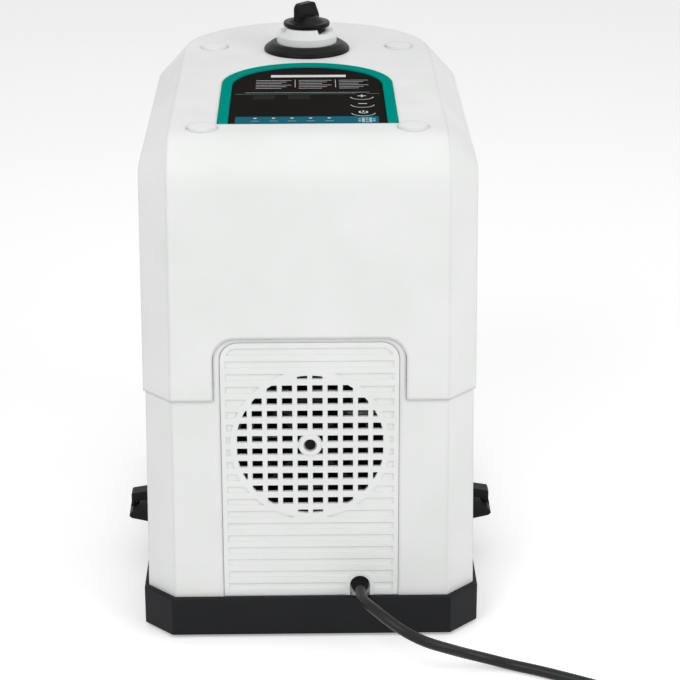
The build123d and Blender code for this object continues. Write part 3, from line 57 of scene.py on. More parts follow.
# ---------------------------------------------------------------- small tools
def linear(code):
    """An sRGB hex colour as linear RGBA."""
    c = np.array([int(code[i:i + 2], 16) for i in (0, 2, 4)]) / 255
    return (*np.where(c <= 0.04045, c / 12.92, ((c + 0.055) / 1.055) ** 2.4).tolist(), 1.0)


def add(tree, kind, links=(), **settings):
    """Adds a node: settings are its properties, or its inputs by name, and links are (output, input name)."""
    node = tree.nodes.new(kind)
    for key, value in settings.items():
        name = key.replace("_", " ")
        if name in node.inputs:
            node.inputs[name].default_value = value
        elif key in node.inputs:
            node.inputs[key].default_value = value
        else:
            setattr(node, key, value)
    for output, name in links:
        tree.links.new(output, node.inputs[name])
    return node


def blank(name):
    """A material with a Principled shader wired up: (material, tree, shader, object coordinates)."""
    material = bpy.data.materials.new(name)
    material.use_nodes = True
    tree = material.node_tree
    tree.nodes.clear()
    shader = add(tree, "ShaderNodeBsdfPrincipled")
    out = add(tree, "ShaderNodeOutputMaterial", [(shader.outputs[0], "Surface")])
    out.is_active_output = True
    place = add(tree, "ShaderNodeTexCoord").outputs["Object"]
    return material, tree, shader, place


def grain(tree, place, shader, spacing, depth, edge=0.0):
    """A moulded or cast skin: noise of a spacing in metres as bump, over edges eased by a radius in metres."""
    noise = add(tree, "ShaderNodeTexNoise", [(place, "Vector")], Scale=1 / spacing, Detail=2.0)
    bump = add(tree, "ShaderNodeBump", [(noise.outputs[0], "Height")], Strength=1.0, Distance=depth)
    if edge:
        eased = add(tree, "ShaderNodeBevel", Radius=edge, samples=4)
        tree.links.new(eased.outputs[0], bump.inputs["Normal"])
    tree.links.new(bump.outputs[0], shader.inputs["Normal"])


def drift(tree, place, shader, light, dark, spacing, rough_low, rough_high):
    """Slow drift of colour and of gloss across a face, as handling and the mould leave it."""
    noise = add(tree, "ShaderNodeTexNoise", [(place, "Vector")], Scale=1 / spacing, Detail=3.0)
    ramp = add(tree, "ShaderNodeMix", [(noise.outputs[0], "Factor")], data_type="RGBA")
    ramp.inputs[6].default_value = linear(light)
    ramp.inputs[7].default_value = linear(dark)
    tree.links.new(ramp.outputs[2], shader.inputs["Base Color"])
    spread = add(tree, "ShaderNodeMapRange", [(noise.outputs[0], "Value")])
    spread.inputs["From Min"].default_value = 0.3
    spread.inputs["From Max"].default_value = 0.7
    spread.inputs["To Min"].default_value = rough_low
    spread.inputs["To Max"].default_value = rough_high
    tree.links.new(spread.outputs[0], shader.inputs["Roughness"])


def plastic(name, light, dark, spacing, depth, rough, ior=1.53, edge=0.0, gloss=0.5):
    """A moulded plastic with its grain and its drift of colour."""
    material, tree, shader, place = blank(name)
    drift(tree, place, shader, light, dark, 0.06, rough - 0.04, rough + 0.05)
    grain(tree, place, shader, spacing, depth, edge)
    shader.inputs["IOR"].default_value = ior
    shader.inputs["Specular IOR Level"].default_value = gloss
    return material


def metal(name, light, dark, spacing, stretch, rough):
    """A metal with its brushing: noise drawn out along one axis drives roughness and bump."""
    material, tree, shader, place = blank(name)
    drift(tree, place, shader, light, dark, 0.03, rough - 0.06, rough + 0.08)
    shader.inputs["Metallic"].default_value = 1.0
    turn = add(tree, "ShaderNodeMapping", [(place, "Vector")], Scale=stretch)
    lines = add(tree, "ShaderNodeTexNoise", [(turn.outputs[0], "Vector")], Scale=1 / spacing, Detail=2.0)
    bump = add(tree, "ShaderNodeBump", [(lines.outputs[0], "Height")], Strength=0.5, Distance=0.00004)
    tree.links.new(bump.outputs[0], shader.inputs["Normal"])
    return material


# ---------------------------------------------------------------- finishes
def moulded_abs(prefs):
    """White ABS, injection moulded with a fine spark-eroded skin: soft broad highlights, eased edges."""
    return plastic("moulded_abs_white", prefs.shell_colour, "E4E6E4", 0.0009, 0.000025, 0.46, edge=0.0045)


def panel_abs(prefs):
    """The same ABS on the grille panel, moulded with thinner walls, so its edges are crisper."""
    return plastic("moulded_abs_panel", prefs.shell_colour, "E5E7E5", 0.0009, 0.00002, 0.44, edge=0.0005)


def tray_abs():
    """Black ABS with a coarser grain that scatters light and hides scuffs."""
    return plastic("grained_abs_black", "18191B", "1E1F22", 0.0011, 0.00005, 0.5, edge=0.0008, gloss=0.12)


def moulded_rubber():
    """Black rubber: dull, with a slight bloom."""
    return plastic("moulded_rubber_black", "121213", "19191A", 0.0015, 0.00004, 0.72, ior=1.52, gloss=0.1)


def lead_vinyl():
    """Black PVC of the mains lead: semi-gloss, with the shallow waviness that extrusion leaves."""
    return plastic("extruded_pvc_black", "131314", "18191A", 0.004, 0.00004, 0.36, gloss=0.25)


def nylon_black():
    """Glass-filled nylon of the knob and collar: satin black."""
    return plastic("filled_nylon_black", "0E0E0F", "141415", 0.0008, 0.00003, 0.38, edge=0.0006, gloss=0.1)


def natural_nylon():
    """Unpigmented nylon: milky and a little see-through, so light bleeds through its thin edges."""
    material, tree, shader, place = blank("natural_nylon_milky")
    drift(tree, place, shader, "F1F3F2", "E6E9E8", 0.02, 0.28, 0.4)
    grain(tree, place, shader, 0.003, 0.00005, 0.0005)
    shader.inputs["Subsurface Weight"].default_value = 0.35
    shader.inputs["Subsurface Radius"].default_value = (0.004, 0.004, 0.004)
    shader.inputs["Transmission Weight"].default_value = 0.12
    return material


def bezel_teal(prefs):
    """Teal ABS, polished mould: glossier than the shell."""
    return plastic("polished_abs_teal", prefs.bezel_colour, "008E82", 0.006, 0.00002, 0.3, edge=0.0005, gloss=0.0)


def overlay_film():
    """Back-printed polyester film: dark ink under a velvet face with a faint orange peel."""
    return plastic("printed_polyester_dark", "211F1E", "262423", 0.003, 0.00001, 0.4, ior=1.6, gloss=0.0)


def window_film():
    """Smoked clear window in the film: glossier and a shade lighter than the ink round it."""
    return plastic("smoked_window_film", "2E2D2A", "33322F", 0.01, 0.000005, 0.3, ior=1.6, gloss=0.0)


def strip_film():
    """Blue ink of the status strip under the same film."""
    return plastic("printed_polyester_blue", "236E82", "1F6477", 0.004, 0.00001, 0.38, ior=1.6, gloss=0.0)


def lens_white():
    """Diffusing acrylic over the status lights."""
    return plastic("diffusing_acrylic_white", "DCE6EA", "CBD8DE", 0.002, 0.00001, 0.3, ior=1.49)


def screen_ink(name, code):
    """Screen-printed ink: flat, with faint thinning from the mesh it was printed through."""
    material, tree, shader, place = blank(name)
    drift(tree, place, shader, code, code, 0.004, 0.4, 0.55)
    return material


def zinc_steel():
    """Zinc-plated steel, rolled: cool grey with drawn-out streaks."""
    return metal("zinc_plated_steel", "B9BCBE", "A3A6A9", 0.0012, (1.0, 0.08, 1.0), 0.34)


def cast_alloy():
    """Die-cast aluminium, sand-blasted: dull and even."""
    return metal("die_cast_aluminium", "A9ABAC", "97999B", 0.0015, (1.0, 1.0, 1.0), 0.5)


def drawn_alloy():
    """Drawn aluminium tube, brushed along its length."""
    return metal("drawn_aluminium", "C4C6C8", "B4B6B9", 0.0008, (1.0, 1.0, 0.05), 0.3)


def nickel_pin():
    """Nickel-plated brass pins."""
    return metal("nickel_plated_brass", "CFCBC2", "C2BEB4", 0.001, (1.0, 1.0, 1.0), 0.18)


def stacked_iron():
    """Motor laminations: pressed sheets a millimetre apart along the shaft, lacquered."""
    material, tree, shader, place = blank("lacquered_laminations")
    drift(tree, place, shader, "4A4B4E", "3B3C3F", 0.02, 0.38, 0.5)
    shader.inputs["Metallic"].default_value = 0.8
    sheets = add(tree, "ShaderNodeTexWave", [(place, "Vector")], Scale=1 / 0.0031, Distortion=0.1)
    sheets.bands_direction = "X"
    bump = add(tree, "ShaderNodeBump", [(sheets.outputs[1], "Height")], Strength=0.7, Distance=0.0002)
    tree.links.new(bump.outputs[0], shader.inputs["Normal"])
    return material


def solder_mask():
    """Green solder mask over copper tracks about a millimetre wide."""
    material, tree, shader, place = blank("solder_mask_green")
    tracks = add(tree, "ShaderNodeTexBrick", [(place, "Vector")], Scale=1.0)
    tracks.inputs["Brick Width"].default_value = 0.012
    tracks.inputs["Row Height"].default_value = 0.003
    tracks.inputs["Mortar Size"].default_value = 0.0006
    tracks.inputs["Color1"].default_value = linear("14522E")
    tracks.inputs["Color2"].default_value = linear("17602F")
    tracks.inputs["Mortar"].default_value = linear("2C8046")
    tree.links.new(tracks.outputs[0], shader.inputs["Base Color"])
    shader.inputs["Roughness"].default_value = 0.3
    return material


def silicone():
    """Clear silicone hose, milky with age."""
    return plastic("silicone_hose", "D6D8D2", "C9CBC4", 0.008, 0.00003, 0.4, ior=1.43)


def open_foam():
    """Open-cell filter foam: cells about two millimetres across as deep pits, with painted shade: the colour darkens
    towards each pit's middle.
    """
    material, tree, shader, place = blank("open_cell_foam")
    cells = add(tree, "ShaderNodeTexVoronoi", [(place, "Vector")], Scale=1 / 0.002)
    # painted shade: near black at the middle of each cell, down in its pit, grey towards its rim
    mix = add(tree, "ShaderNodeMix", [(cells.outputs[0], "Factor")], data_type="RGBA")
    mix.inputs[6].default_value = linear("0F0F10")
    mix.inputs[7].default_value = linear("3A3B3D")
    tree.links.new(mix.outputs[2], shader.inputs["Base Color"])
    bump = add(tree, "ShaderNodeBump", [(cells.outputs[0], "Height")], Strength=1.0, Distance=0.001)
    tree.links.new(bump.outputs[0], shader.inputs["Normal"])
    shader.inputs["Roughness"].default_value = 0.9
    return material


def fan_plastic():
    """Black PBT of the fan: satin, barely grained."""
    return plastic("moulded_pbt_black", "111112", "161617", 0.0012, 0.00002, 0.42, edge=0.0003, gloss=0.1)


def valve_plastic():
    """Dark moulded bodies of valves, regulator and muffler."""
    return plastic("moulded_nylon_dark", "23252E", "2B2D36", 0.001, 0.00003, 0.45)


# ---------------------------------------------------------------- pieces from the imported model
def finish(material, *names):
    """Gives CAD nodes a material."""
    for name in names:
        mesh = NODES[name].data
        mesh.materials.clear()
        mesh.materials.append(material)


def smoothed(name, material, body, slot, crease=28.0):
    """A node's skin joined up and shaded smooth except over creases, standing in for the node."""
    mesh = bpy.data.meshes.new(name + "_skin")
    form = bmesh.new()
    form.from_mesh(NODES[name].data)
    bmesh.ops.remove_doubles(form, verts=form.verts, dist=0.000004)
    for face in form.faces:
        face.smooth = True
    for edge in form.edges:
        edge.smooth = len(edge.link_faces) == 2 and edge.calc_face_angle(0.0) < radians(crease)
    form.to_mesh(mesh)
    form.free()
    mesh.materials.clear()
    mesh.materials.append(material)
    return placed(mesh, body, slot, name)


def placed(mesh, body, slot, *stands_for):
    """An object for a mesh, riding on a body and standing for some nodes."""
    piece = bpy.data.objects.new(mesh.name, mesh)
    bpy.context.scene.collection.objects.link(piece)
    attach(piece, body)
    if stands_for:
        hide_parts(*stands_for)
    return piece


# ---------------------------------------------------------------- surfaces worked out as arrays
def grid_mesh(name, points, material, close_u=False, close_v=False, smooth=True):
    """A mesh from an array of points on a grid, u by v by 3, with quads between neighbours."""
    nu, nv = points.shape[:2]
    index = np.arange(nu * nv).reshape(nu, nv)
    if close_u:
        index = np.vstack([index, index[:1]])
    if close_v:
        index = np.hstack([index, index[:, :1]])
    quads = np.stack([index[:-1, :-1], index[1:, :-1], index[1:, 1:], index[:-1, 1:]], axis=-1).reshape(-1, 4)
    mesh = bpy.data.meshes.new(name)
    mesh.from_pydata(points.reshape(-1, 3).tolist(), [], quads.tolist())
    mesh.materials.append(material)
    mesh.polygons.foreach_set("use_smooth", np.full(len(mesh.polygons), smooth))
    mesh.update()
    return mesh


def joined(name, meshes):
    """Several meshes as one, with their normals turned outwards."""
    form = bmesh.new()
    for mesh in meshes:
        form.from_mesh(mesh)
    bmesh.ops.remove_doubles(form, verts=form.verts, dist=0.000002)
    bmesh.ops.recalc_face_normals(form, faces=form.faces)
    result = bpy.data.meshes.new(name)
    form.to_mesh(result)
    form.free()
    for material in meshes[0].materials:
        result.materials.append(material)
    for mesh in meshes:
        bpy.data.meshes.remove(mesh)
    return result


def ribbon(name, line, width, low, high, material, shut=False):
    """A printed line as a thin raised band: a flat box profile carried along a line in plan.

    line is n by 2. At each point the profile's four corners lie half a width either side along the line's
    normal, at the low and the high height. Open lines get end caps by drawing the profile in to its middle.
    """
    way = np.gradient(line, axis=0)
    if shut:
        way = np.roll(line, -1, axis=0) - np.roll(line, 1, axis=0)
    way = way / np.linalg.norm(way, axis=1, keepdims=True)
    side = np.stack([-way[:, 1], way[:, 0]], axis=1) * width / 2
    left, right = line + side, line - side
    lift = lambda flat, z: np.column_stack([flat, np.full(len(flat), z)])
    rows = np.stack([lift(left, low), lift(right, low), lift(right, high), lift(left, high)], axis=1)
    if not shut:
        start = np.repeat(rows[:1].mean(axis=1, keepdims=True), 4, axis=1)
        end = np.repeat(rows[-1:].mean(axis=1, keepdims=True), 4, axis=1)
        rows = np.concatenate([start, rows, end])
    return grid_mesh(name, rows, material, close_u=shut, close_v=True, smooth=False)


def stroke(x0, y0, x1, y1):
    """A straight line in plan, in metres."""
    return np.array([(x0, y0), (x1, y1)]) * MM


def arc(x, y, radius, start, end, count=25):
    """Points on a circle's arc: centre plus radius times cosine and sine of the angle."""
    turn = np.radians(np.linspace(start, end, count))
    return np.column_stack([x + radius * np.cos(turn), y + radius * np.sin(turn)]) * MM


# ---------------------------------------------------------------- the mains lead
LEAD_RADIUS = 4.25
COIL_CENTRE = (262.0, -396.0)
COIL_ENTRY = 63.8
TAIL_EXIT = 40.0
OUTER_TURN = 55.5
UPPER_LAYER = 3 * LEAD_RADIUS
EXIT = (39.0, -226.19, 44.55)
LEAD_ROUTE = [
    EXIT, (39.0, -238.89, 44.74), (42.0, -251.4, 45.9), (49.2, -265.1, 46.3), (59.6, -277.7, 43.2),
    (73.0, -286.6, 37.3), (88.5, -290.3, 30.7), (105.4, -288.1, 24.0), (120.7, -279.8, 14.8),
    (137.4, -276.5, 8.4), (155.7, -279.1, 4.25), (176.6, -288.8, 4.25), (203.2, -303.5, 4.25),
    (233.0, -321.3, 4.25), (263.53, -334.9, 4.25),
]


def eased(share):
    """A step from 0 to 1 with level ends: three times the square less twice the cube, held outside 0 to 1."""
    s = np.clip(share, 0, 1)
    return s * s * (3 - 2 * s)


def coil_points():
    """Control points of the wound part: five turns clockwise, three on the floor working inwards, two on top
    working outwards. Each turn is a circle and steps one diameter sideways over its last fifth. The radius is
    enlarged by the share that the curve cuts inside its control points."""
    count = 16
    turns = np.arange(0, 5 * count + 1) / count
    lap = np.minimum(np.floor(turns), 4)
    part = turns - lap
    step = eased((part - 0.8) / 0.2)
    start = np.array([OUTER_TURN, OUTER_TURN - 8.5, OUTER_TURN - 17, OUTER_TURN - 17, OUTER_TURN - 8.5])
    change = np.array([-8.5, -8.5, 0.0, 8.5, 8.5])
    index = lap.astype(int)
    radius = (start[index] + change[index] * step) / (0.5 + 0.5 * np.cos(pi / count))
    lift = np.where(index == 2, eased((part - 0.45) / 0.4), (index > 2) * 1.0)
    height = LEAD_RADIUS + (UPPER_LAYER - LEAD_RADIUS) * lift
    angle = np.radians(COIL_ENTRY - turns * 360)
    x = COIL_CENTRE[0] + radius * np.cos(angle)
    y = COIL_CENTRE[1] + radius * np.sin(angle)
    return np.column_stack([x, y, height])


def tail_points():
    """Control points from the coil to the plug's neck: along the tangent where the coil ends, up a slope."""
    turn = radians(TAIL_EXIT)
    way = np.array([np.sin(turn), -np.cos(turn)])
    place = np.array(COIL_CENTRE) + OUTER_TURN * np.array([np.cos(turn), np.sin(turn)])
    run, rise = 20.2, 18.5 - UPPER_LAYER
    flat = np.cumsum([0.0, run, np.sqrt(run**2 - rise**2), run])
    height = np.array([UPPER_LAYER, UPPER_LAYER, 18.5, 18.5])
    return np.column_stack([place + flat[:, None] * way, height])


def line_of(points):
    """One open NURBS spline through no point but its ends, with the points as its control points, in metres."""
    curve = bpy.data.curves.new("mains_lead_line", "CURVE")
    curve.dimensions = "3D"
    spline = curve.splines.new("NURBS")
    spline.points.add(len(points) - 1)
    spline.points.foreach_set("co", np.column_stack([points * MM, np.ones(len(points))]).ravel())
    spline.order_u = 3
    spline.use_endpoint_u = True
    spline.resolution_u = 6
    curve.bevel_depth = LEAD_RADIUS * MM
    curve.bevel_resolution = 5
    curve.use_fill_caps = True
    return curve


def coil_tie(material):
    """A strap round the coil's section: a rounded oblong (a circle raised to the fourth power's form) whose
    radius in the two directions covers the wound lead, carried across the strap's width."""
    turn = np.radians(-60.0)
    out = np.array([np.cos(turn), np.sin(turn), 0.0])
    along = np.array([-np.sin(turn), np.cos(turn), 0.0])
    t = np.linspace(0, 2 * pi, 64, endpoint=False)
    power = lambda v: np.sign(v) * np.abs(v) ** 0.5
    middle = np.array([*COIL_CENTRE, 0.0]) + out * (OUTER_TURN - 8.5)
    across = np.array([-6.0, -5.4, 5.4, 6.0, 6.0, 5.4, -5.4, -6.0])
    grow = np.array([0.5, 1.1, 1.1, 0.5, 0.3, 0.05, 0.05, 0.3])
    half_width, half_height = 12.8, 8.5
    ring_x = (half_width + grow[None, :]) * power(np.cos(t))[:, None]
    ring_z = 8.6 + (half_height + grow[None, :] * 0.9) * power(np.sin(t))[:, None]
    points = (middle + ring_x[..., None] * out + ring_z[..., None] * np.array([0, 0, 1.0])
              + across[None, :, None] * along)
    points[..., 2] = np.maximum(points[..., 2], 0.05)
    return grid_mesh("coil_tie", points * MM, material, close_u=True, close_v=True)


# ---------------------------------------------------------------- studio
def bright_rays(tree):
    """1 for rays from the camera, a mirror-like surface or through a clear one, for which the ground is white."""
    path = add(tree, "ShaderNodeLightPath")
    clear = add(tree, "ShaderNodeMath", operation="MAXIMUM")
    tree.links.new(path.outputs["Is Glossy Ray"], clear.inputs[0])
    tree.links.new(path.outputs["Is Transmission Ray"], clear.inputs[1])
    all_rays = add(tree, "ShaderNodeMath", operation="MAXIMUM")
    tree.links.new(path.outputs["Is Camera Ray"], all_rays.inputs[0])
    tree.links.new(clear.outputs[0], all_rays.inputs[1])
    return all_rays.outputs[0]


# ---------------------------------------------------------------- settings
class ConcentratorFinish(bpy.types.PropertyGroup):
    """Colours a user would change."""
    shell_colour: bpy.props.StringProperty(name="Shell", description="Case colour, sRGB hex", default="F1F2F1")
    bezel_colour: bpy.props.StringProperty(name="Bezel", description="Control panel frame, sRGB hex", default="009B8C")
    mark_colour: bpy.props.StringProperty(name="Marks", description="Printed marks, sRGB hex", default="DADDDC")


class ConcentratorStudio(bpy.types.PropertyGroup):
    """The camera and the light."""
    lens: bpy.props.FloatProperty(name="Lens", description="Focal length", default=115.507, min=10.0, unit="CAMERA")
    key_power: bpy.props.FloatProperty(name="Key", description="Main lamp's power", default=18.0, min=0.0,
                                       unit="POWER")
    sky: bpy.props.FloatProperty(name="Sky", description="Strength of the light from all round", default=0.45, min=0.0,
                                 subtype="FACTOR")
    mark_height: bpy.props.FloatProperty(name="Ink", description="Thickness of printed marks", default=0.00006,
                                         min=0.00001, unit="LENGTH")


# ---------------------------------------------------------------- operators
class BUILD_OT_case(bpy.types.Operator):
    """White shells, black tray, feet and the hood's screw caps"""
    bl_idname = "concentrator.case"
    bl_label = "Case"

    def execute(self, context):
        prefs = context.scene.concentrator_finish
        white, panel, tray = moulded_abs(prefs), panel_abs(prefs), tray_abs()
        smoothed("hood", white, "housing", "white_shell")
        smoothed("lower_housing", white, "housing", "white_shell")
        smoothed("filter_door", panel, "rear_door", "white_shell")
        smoothed("screw_caps", white, "housing", "white_cap", 40.0)
        smoothed("base_tray", tray, "housing", "black_base")
        finish(panel, "grille_panel")
        finish(moulded_rubber(), "rubber_feet", "vibration_mounts", "plug_seal")
        finish(open_foam(), "filter_foam")
        return {"FINISHED"}


class BUILD_OT_fan(bpy.types.Operator):
    """The fan behind the grille, its guard and screws"""
    bl_idname = "concentrator.fan"
    bl_label = "Fan"

    def execute(self, context):
        finish(fan_plastic(), "fan_guard", "fan_frame", "fan_rotor", "grille_screw")
        finish(zinc_steel(), "small_screws", "hood_screws", "mount_bolts", "chassis_frame",
               "compressor_plate")
        return {"FINISHED"}


class BUILD_OT_controls(bpy.types.Operator):
    """Bezel, printed film, windows, buttons and status lights"""
    bl_idname = "concentrator.controls"
    bl_label = "Controls"

    def execute(self, context):
        prefs = context.scene.concentrator_finish
        smoothed("bezel_frame", bezel_teal(prefs), "housing", "teal_plastic")
        finish(overlay_film(), "control_overlay", "plus_button", "minus_button", "power_button")
        finish(window_film(), "display_windows")
        finish(strip_film(), "status_strip")
        finish(lens_white(), "indicator_lights")
        finish(solder_mask(), "control_board", "power_board")
        return {"FINISHED"}


class BUILD_OT_marks(bpy.types.Operator):
    """Printed arcs, lines and button symbols on the control panel"""
    bl_idname = "concentrator.marks"
    bl_label = "Printed marks"

    def execute(self, context):
        prefs = context.scene.concentrator_finish
        ink_height = context.scene.concentrator_studio.mark_height
        white = screen_ink("screen_ink_pale", prefs.mark_colour)
        green = screen_ink("screen_ink_green", "2F8F6B")
        blue = screen_ink("screen_ink_blue", "9CC6D2")
        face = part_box("control_overlay")[1].z
        cap_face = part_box("plus_button")[1].z
        centres = {}
        for name in ("plus_button", "minus_button", "power_button"):
            low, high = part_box(name)
            centres[name] = ((low.x + high.x) / 2 / MM, (low.y + high.y) / 2 / MM)
        rings = [ribbon("m", arc(*centres[name], 9.3, 190, 350), 0.0008, face - 0.00002, face + ink_height, white)
                 for name in centres]
        rules = [ribbon("m", stroke(-9.9, -45, -9.9, -20), 0.0004, face - 0.00002, face + ink_height, white),
                 ribbon("m", stroke(23.1, -45, 23.1, -20), 0.0004, face - 0.00002, face + ink_height, white)]
        for left, right in ((-42, -13), (-7, 20), (26, 50)):
            for row in range(6):
                y = -22 - row * 5.2
                rules.append(ribbon("m", stroke(left, y, right - (row % 3) * 4, y), 0.0006, face - 0.00002,
                                    face + ink_height, white))
        rules.append(ribbon("m", stroke(-30, -7.5, 32, -7.5), 0.0075, face - 0.00002, face + ink_height, white))
        rules.append(ribbon("m", stroke(-50, -62, 50, -62), 0.0004, face - 0.00002, face + ink_height, white))
        placed(joined("panel_marks", rings + rules), "housing", "light_lens")
        line = [ribbon("m", stroke(-58, -66.5, 58, -66.5), 0.0005, face - 0.00002, face + ink_height, green)]
        placed(joined("panel_line", line), "housing", "teal_plastic")
        pitch, sunk = 2.8, face - 0.00002
        filled = [(39 + i * pitch, -153.2 + k * pitch) for i in range(5) for k in range(5) if (i * 3 + k * 2) % 4]
        cells = [ribbon("m", stroke(x, y, x + 2.2, y), 0.0021, sunk, face + ink_height, blue) for x, y in filled]
        cells += [ribbon("m", stroke(x - 3.2, -149.5, x + 3.2, -149.5), 0.0006, face - 0.00002, face + ink_height, blue)
                  for x in (-40.7, -26.5, -12.1, 2.3, 16.6)]
        placed(joined("strip_marks", cells), "housing", "light_lens")
        top = (cap_face - 0.00002, cap_face + ink_height)
        x, y = centres["plus_button"]
        placed(joined("plus_symbol", [ribbon("m", stroke(x - 3.4, y, x + 3.4, y), 0.0014, *top, white),
                                      ribbon("m", stroke(x, y - 3.4, x, y + 3.4), 0.0014, *top, white)]),
               "plus_key", "light_lens")
        x, y = centres["minus_button"]
        placed(joined("minus_symbol", [ribbon("m", stroke(x - 3.4, y, x + 3.4, y), 0.0014, *top, white)]),
               "minus_key", "light_lens")
        x, y = centres["power_button"]
        placed(joined("power_symbol", [ribbon("m", arc(x, y - 0.3, 3.2, 125, 415), 0.0012, *top, white),
                                       ribbon("m", stroke(x, y, x, y + 4.0), 0.0012, *top, white)]),
               "power_key", "light_lens")
        return {"FINISHED"}


class BUILD_OT_port(bpy.types.Operator):
    """Collar, slotted ring, plug stem and wing knob on the hood"""
    bl_idname = "concentrator.port"
    bl_label = "Port"

    def execute(self, context):
        black = nylon_black()
        smoothed("port_collar", black, "housing", "black_knob")
        smoothed("wing_knob", black, "port_plug", "black_knob")
        smoothed("slot_ring", natural_nylon(), "housing", "natural_nylon")
        finish(black, "plug_stem")
        return {"FINISHED"}


class BUILD_OT_latches(bpy.types.Operator):
    """Side brackets and their levers"""
    bl_idname = "concentrator.latches"
    bl_label = "Latches"

    def execute(self, context):
        tray = bpy.data.materials.get("grained_abs_black") or tray_abs()
        smoothed("latch_brackets", tray, "housing", "black_base")
        smoothed("right_latch_lever", tray, "right_latch", "black_base")
        smoothed("left_latch_lever", tray, "left_latch", "black_base")
        return {"FINISHED"}


class BUILD_OT_inside(bpy.types.Operator):
    """Compressor, sieve beds, gas path and electrics"""
    bl_idname = "concentrator.inside"
    bl_label = "Inside"

    def execute(self, context):
        finish(cast_alloy(), "crank_cases", "cylinder_barrels", "cylinder_heads", "valve_manifold", "bed_caps")
        finish(stacked_iron(), "motor_stator", "motor_rotor")
        finish(drawn_alloy(), "sieve_beds", "product_tank", "cooler_tube", "cooler_fins", "run_capacitor")
        finish(valve_plastic(), "solenoid_valves", "pressure_regulator", "exhaust_muffler", "cooling_fans")
        finish(silicone(), "air_hoses")
        finish(natural_nylon(), "terminal_block")
        return {"FINISHED"}


class BUILD_OT_lead(bpy.types.Operator):
    """Mains lead with its coil, tie, strain relief and plug"""
    bl_idname = "concentrator.lead"
    bl_label = "Mains lead"

    def execute(self, context):
        vinyl = lead_vinyl()
        points = np.vstack([np.array(LEAD_ROUTE), coil_points(), tail_points()[1:]])
        curve = line_of(points)
        curve.materials.append(vinyl)
        lead = placed(curve, "housing", "cord_vinyl", "mains_lead", "lead_coil", "lead_tail")
        tie = placed(coil_tie(moulded_rubber()), "housing", "rubber")
        finish(vinyl, "mains_plug")
        finish(moulded_rubber(), "strain_relief")
        finish(nickel_pin(), "plug_pins")
        return {"FINISHED"}


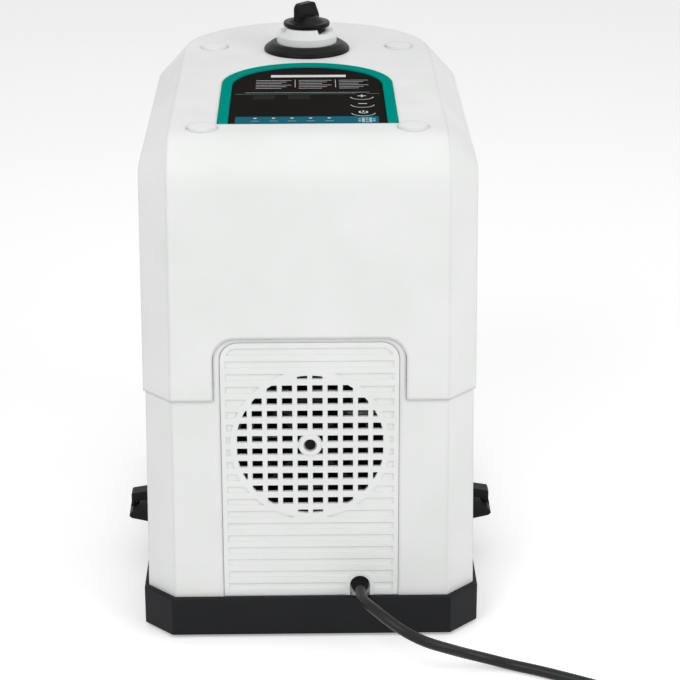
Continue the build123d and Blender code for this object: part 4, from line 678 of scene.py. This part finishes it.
class BUILD_OT_studio(bpy.types.Operator):
    """Floor, soft light and camera"""
    bl_idname = "concentrator.studio"
    bl_label = "Studio"

    def execute(self, context):
        scene = context.scene
        studio = scene.concentrator_studio
        floor_paint, tree, shader, place = blank("matt_paper")
        drift(tree, place, shader, "F4F4F4", "F2F2F2", 0.5, 0.8, 0.9)
        glow = add(tree, "ShaderNodeEmission", Color=(1, 1, 1, 1), Strength=0.34)
        total = add(tree, "ShaderNodeAddShader")
        tree.links.new(shader.outputs[0], total.inputs[0])
        tree.links.new(glow.outputs[0], total.inputs[1])
        mix = add(tree, "ShaderNodeMixShader")
        tree.links.new(bright_rays(tree), mix.inputs[0])
        tree.links.new(shader.outputs[0], mix.inputs[1])
        tree.links.new(total.outputs[0], mix.inputs[2])
        out = next(n for n in tree.nodes if n.type == "OUTPUT_MATERIAL")
        tree.links.new(mix.outputs[0], out.inputs["Surface"])
        edge = np.array([(-4, -4), (4, -4), (4, 4), (-4, 4)], float)
        corners = np.column_stack([edge, np.zeros(4)])[[0, 1, 3, 2]].reshape(2, 2, 3)
        floor = bpy.data.objects.new("studio_floor", grid_mesh("studio_floor", corners, floor_paint))
        scene.collection.objects.link(floor)

        world = bpy.data.worlds.new("studio_sky")
        scene.world = world
        world.use_nodes = True
        sky = world.node_tree
        sky.nodes.clear()
        soft = add(sky, "ShaderNodeBackground", Color=(1, 1, 1, 1), Strength=studio.sky)
        plain = add(sky, "ShaderNodeBackground", Color=(1, 1, 1, 1), Strength=1.0)
        blend = add(sky, "ShaderNodeMixShader")
        sky.links.new(bright_rays(sky), blend.inputs[0])
        sky.links.new(soft.outputs[0], blend.inputs[1])
        sky.links.new(plain.outputs[0], blend.inputs[2])
        add(sky, "ShaderNodeOutputWorld", [(blend.outputs[0], "Surface")])

        for name, place_at, size, power in (("key_lamp", (-1.1, -1.5, 1.7), 1.4, studio.key_power),
                                            ("fill_lamp", (1.5, -1.1, 1.1), 1.4, studio.key_power * 0.75),
                                            ("top_lamp", (0.2, 0.3, 2.1), 1.6, studio.key_power * 0.3)):
            lamp = bpy.data.lights.new(name, "AREA")
            lamp.size = size
            lamp.energy = power
            holder = bpy.data.objects.new(name, lamp)
            holder.location = place_at
            holder.rotation_euler = (Vector((0, 0, 0.2)) - Vector(place_at)).to_track_quat("-Z", "Y").to_euler()
            scene.collection.objects.link(holder)

        camera = bpy.data.cameras.new("studio_camera")
        camera.lens = studio.lens
        camera.sensor_width = 36.0
        camera.clip_start, camera.clip_end = 0.05, 50.0
        right = Vector((0.99984795, -0.01736741, -0.0015638))
        up = Vector((0.00763608, 0.3554529, 0.934663))
        ahead = Vector((0.01567682, 0.93453283, -0.35553148))
        stand = Matrix((right, up, -ahead)).transposed().to_4x4()
        stand.translation = Vector((-0.00281, -1.77933, 0.84749))
        eye = bpy.data.objects.new("studio_camera", camera)
        eye.matrix_world = stand
        scene.collection.objects.link(eye)
        scene.camera = eye
        scene.view_settings.view_transform = "Standard"
        return {"FINISHED"}


STEPS = (BUILD_OT_case, BUILD_OT_fan, BUILD_OT_controls, BUILD_OT_marks, BUILD_OT_port, BUILD_OT_latches,
         BUILD_OT_inside, BUILD_OT_lead, BUILD_OT_studio)


class VIEW3D_PT_concentrator(bpy.types.Panel):
    """Lists the pieces and their settings"""
    bl_label = "Concentrator"
    bl_space_type = "VIEW_3D"
    bl_region_type = "UI"
    bl_category = "Concentrator"

    def draw(self, context):
        for group in (context.scene.concentrator_finish, context.scene.concentrator_studio):
            for name in group.__annotations__:
                self.layout.prop(group, name)
        for step in STEPS:
            self.layout.operator(step.bl_idname)


CLASSES = (ConcentratorFinish, ConcentratorStudio, *STEPS, VIEW3D_PT_concentrator)


def register():
    for cls in CLASSES:
        bpy.utils.register_class(cls)
    bpy.types.Scene.concentrator_finish = bpy.props.PointerProperty(type=ConcentratorFinish)
    bpy.types.Scene.concentrator_studio = bpy.props.PointerProperty(type=ConcentratorStudio)


def unregister():
    del bpy.types.Scene.concentrator_finish
    del bpy.types.Scene.concentrator_studio
    for cls in reversed(CLASSES):
        bpy.utils.unregister_class(cls)


def main():
    """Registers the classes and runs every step."""
    register()
    for step in STEPS:
        group, name = step.bl_idname.split(".")
        getattr(getattr(bpy.ops, group), name)()


if __name__ == "__main__":
    main()
